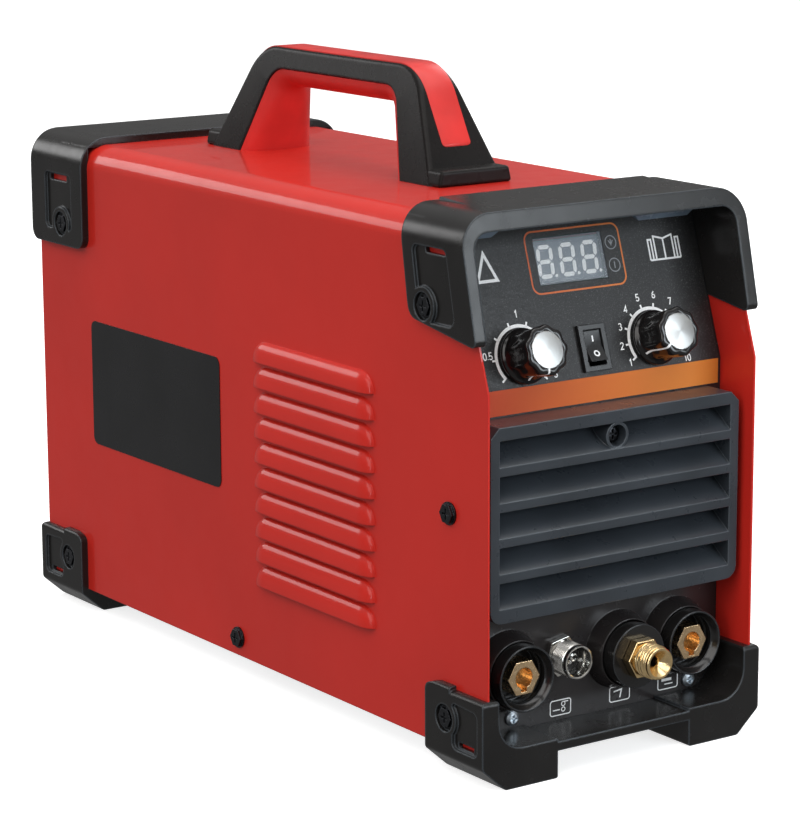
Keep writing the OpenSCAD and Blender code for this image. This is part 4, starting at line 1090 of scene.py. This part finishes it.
def build_sockets():
    """Insulating sleeves with their tails and nuts, round the CAD's contacts."""
    sleeve = [
        (12.0, -2.0), (15.0, -2.0), (15.0, 15.75), (14.75, 16.0), (14.2, 16.0), (13.2, 14.6),
        (12.6, 13.0), (12.1, 12.6), (12.1, 10.8), (12.6, 10.4), (12.6, 8.6), (12.1, 8.2),
        (12.1, 6.6), (12.5, 6.2), (12.4, 4.0), (5.3, 4.0),
    ]
    tail = [(5.3, -14.0), (12.0, -14.0), (12.0, -2.0)]
    for x, side in ((-SOCKET_X, "negative"), (SOCKET_X, "positive")):
        shape = Shape().add(*lathe(sleeve, 96)).add(*lathe(tail, 64))
        shape.add(*prism(circle(16.0, 6), -8.5, -2.5))
        piece(
            f"{side}_socket_sleeve", shape, "connector_plastic",
            replaces=[f"{side}_socket_body"], place=on_front(x, SOCKET_Z), angle=40,
        )
        from_cad(f"{side}_socket_contact")


def build_gas_outlet():
    """Flange, hexagon, threaded nipple with a funnel mouth, and its bore painted dark as shade."""
    place = on_front(*GAS)
    flange = [(5.3, 0.0), (14.8, 0.0), (14.8, 15.75), (14.55, 16.0), (5.3, 16.0)]
    piece(
        "gas_outlet_ring", Shape().add(*lathe(flange, 96)), "connector_plastic",
        replaces=["gas_outlet_flange"], place=place,
    )
    fitting = ["gas_outlet_fitting"]
    nut = Shape().add(*prism(circle(9.9, 6), 16.0, 21.0))
    piece("gas_outlet_nut", nut, "brass", TURNED_BRASS, replaces=fitting, place=place, bevel=0.7)
    mouth = [
        (7.1, 29.2), (7.3, 29.6), (7.35, 30.6), (7.0, 31.0), (6.1, 31.0), (5.9, 30.8),
        (2.5, 27.0), (2.1, 26.4), (2.1, 25.0),
    ]
    body = Shape().add(*lathe([(7.1, 20.8), (7.1, 22.0)])).add(*thread(8.0, 1.0, 1.9, 21.6, 29.4))
    body.add(*lathe(mouth))
    body.add(*lathe([(5.0, -18.0), (5.0, 0.5)])).add(*prism(circle(8.5, 6), -7.5, -2.5))
    piece(
        "gas_outlet_nipple", body, "brass", TURNED_BRASS, replaces=fitting, place=place, angle=40
    )
    # Painted shade: the bore is lined with near-black brass so the hole reads dark
    bore = Shape().add(*lathe([(2.1, 25.0), (2.05, 17.0), (0, 17.0)]))
    piece(
        "gas_outlet_bore", bore, "brass", BORE_PAINTED_SHADE, replaces=fitting, place=place, angle=40
    )


def build_torch_connector():
    """Hexagon, threaded barrel, insert with its key, and two pins."""
    place = on_front(*TORCH)
    shell = ["torch_switch_shell"]
    nut = Shape().add(*prism(circle(9.8, 6, start=0.2), 0.0, 3.0))
    piece(
        "torch_connector_nut", nut, "nickel", TURNED_NICKEL, replaces=shell, place=place, bevel=0.5
    )
    mouth = [
        (7.4, 12.0), (7.75, 12.4), (7.8, 13.9), (7.55, 14.4), (7.0, 14.5), (6.7, 14.3),
        (6.6, 13.9), (6.6, 5.9),
    ]
    barrel = Shape().add(*lathe([(7.4, 2.9), (7.4, 4.0)])).add(*thread(8.0, 0.55, 1.0, 3.8, 12.2))
    barrel.add(*lathe(mouth))
    barrel.add(*lathe([(7.5, -12.0), (7.5, 0.2)])).add(*prism(circle(10.0, 6), -5.5, -2.5))
    piece(
        "torch_connector_barrel", barrel, "nickel", TURNED_NICKEL, replaces=shell, place=place,
        angle=40,
    )
    insert = Shape().add(*lathe([(6.55, -11), (6.55, 5.8), (6.3, 6.0), (3.2, 6.0), (0, 6.0)]))
    insert.add(*prism(rounded_box(-1.0, 4.6, 1.0, 6.5, 0.4, 3), 6.0, 11.0))
    piece(
        "torch_connector_insert", insert, "switch_plastic", replaces=["torch_switch_insert"],
        place=place,
    )
    pin = [(1.8, 6.0), (1.8, 6.5), (1.1, 6.7), (1.1, 11.3), (0.8, 11.8), (0, 12.0)]
    stem = [(1.1, -15), (1.1, 6)]
    pins = Shape()
    for x in (-3.0, 3.0):
        for profile in (pin, stem):
            pins.add(*lathe(profile, 24), Matrix.Translation((x, 0, 0)))
    piece(
        "torch_connector_pins", pins, "silver_pin", replaces=["torch_switch_pins"], place=place
    )


def build_connector_signs():
    """Small outlined signs below the connectors."""
    shape = Shape()
    for x, z in ((-17.2, 22.4), (16.9, 22.8), (45.3, 23.4)):
        box = rounded_box(x - 5.8, z - 3.5, x + 5.8, z + 3.5, 1.2, 4)
        shape.add(*stroke(box, 0.5, *FACE_PRINT, closed=True))
    shape.add(*stroke([(-21.5, 21.4), (-17.5, 21.4)], 0.5, *FACE_PRINT))
    for z in (21.3, 23.9):
        shape.add(*stroke(circle(1.0, 18, -15.6, z), 0.4, *FACE_PRINT, closed=True))
    for line, width in (
        ([(-15.2, 24.8), (-12.8, 24.8)], 0.5),
        ([(13.4, 24.0), (18.0, 24.6), (17.0, 20.8)], 0.7),
        ([(41.6, 24.3), (47.5, 24.3)], 1.3),
        ([(43.4, 22.2), (48.2, 22.2)], 0.5),
    ):
        shape.add(*stroke(line, width, *FACE_PRINT))
    piece("connector_signs", shape, "black_paint", WHITE_INK, place=on_front(0, 0))


# ---------- rear ----------


def build_rear():
    """Parts of the rear, as smooth-shaded copies of the CAD."""
    from_cad("fan_frame")
    from_cad("fan_rotor")
    from_cad("fan_guard", 50)
    from_cad("cable_gland")
    from_cad("gas_inlet")


def build_inside():
    """Every CAD node takes its finish; those inside the case also keep their shapes."""
    for obj in frame["nodes"].values():
        obj.data.materials.clear()
        obj.data.materials.append(MATERIALS[SLOT_OF[obj["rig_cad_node"]]])


# ---------- stage ----------


def make_light(name, where, size, power, colour):
    """Soft rectangular light aimed at the middle of the object; metres and watts."""
    data = bpy.data.lights.new(name, "AREA")
    data.shape = "RECTANGLE"
    data.size, data.size_y = size
    data.energy = power
    data.color = colour
    light = bpy.data.objects.new(name, data)
    bpy.context.scene.collection.objects.link(light)
    light.location = where
    direction = Vector((0.0, 0.0, 0.12)) - Vector(where)
    light.rotation_mode = "QUATERNION"
    light.rotation_quaternion = direction.to_track_quat("-Z", "Y")


def make_sky():
    """Pale surroundings: grey round the horizon and brighter overhead."""
    world = bpy.data.worlds.new("studio")
    world.use_nodes = True
    nodes, links = world.node_tree.nodes, world.node_tree.links
    where = nodes.new("ShaderNodeTexCoord")
    parts = nodes.new("ShaderNodeSeparateXYZ")
    ramp = nodes.new("ShaderNodeValToRGB")
    height = nodes.new("ShaderNodeMapRange")
    height.inputs["From Min"].default_value = -1.0
    links.new(where.outputs["Generated"], parts.inputs[0])
    links.new(parts.outputs[2], height.inputs["Value"])
    links.new(height.outputs[0], ramp.inputs[0])
    steps = ((0.0, 0.25), (0.49, 0.25), (0.53, 0.14), (0.64, 0.17), (0.85, 0.6), (1.0, 0.75))
    while len(ramp.color_ramp.elements) < len(steps):
        ramp.color_ramp.elements.new(1.0)
    for element, (place, grey) in zip(ramp.color_ramp.elements, steps):
        element.position = place
        element.color = (grey, grey, grey, 1.0)
    links.new(ramp.outputs["Color"], nodes["Background"].inputs["Color"])
    bpy.context.scene.world = world


def stage_piece(name, profile, material, shadows):
    """Turned backdrop surface seen by the camera only."""
    mesh = bpy.data.meshes.new(name)
    verts, faces = lathe(profile, 64)
    mesh.from_pydata([Vector(v) * MM for v in verts], [], faces)
    mesh.materials.append(material)
    obj = bpy.data.objects.new(name, mesh)
    obj.visible_glossy = False
    obj.visible_diffuse = False
    obj.visible_shadow = shadows
    bpy.context.scene.collection.objects.link(obj)


def make_floor():
    """Pale floor, and a pale wall far behind it for low viewing angles."""
    floor = Surface("floor", (0.80, 0.80, 0.80), 0.7, Specular_IOR_Level=0.1)
    floor.rough(floor.noise(300, 2), 0.65, 0.75)
    floor.shader.inputs["Emission Color"].default_value = (1.0, 1.0, 1.0, 1.0)
    floor.shader.inputs["Emission Strength"].default_value = 0.72
    far, below = 12000.0, -0.2
    stage_piece("floor", [(0, below), (far, below)], floor.material, True)
    stage_piece("wall", [(far - 100.0, -0.1), (far, 9000.0)], floor.material, False)


def build_stage():
    """Sky, floor, wall and six soft lights."""
    make_sky()
    make_floor()
    bpy.context.scene.view_settings.view_transform = "Standard"
    make_light("key_left", (-2.2, -1.3, 1.9), (2.3, 2.3), 38.0, (1.0, 0.97, 0.94))
    make_light("overhead", (0.25, -0.3, 1.6), (1.6, 1.2), 12.0, (1.0, 0.99, 0.97))
    make_light("front_right", (0.7, -1.8, 0.6), (1.0, 0.7), 16.0, (0.86, 0.94, 1.0))
    make_light("left_strip", (-1.5, -1.05, 0.3), (0.2, 0.5), 2.2, (0.85, 0.94, 1.0))
    make_light("rear_left", (-0.9, 1.7, 0.9), (0.8, 0.6), 6.0, (1.0, 1.0, 1.0))
    make_light("rear_right", (1.8, 0.9, 1.2), (0.9, 0.9), 9.0, (1.0, 1.0, 1.0))


build_inside()
build_case()
build_hood_ribs()
build_handle()
build_knobs()
build_panel_print()
build_dial_numbers()
build_display()
build_switches()
build_sockets()
build_gas_outlet()
build_torch_connector()
build_connector_signs()
build_rear()
build_stage()
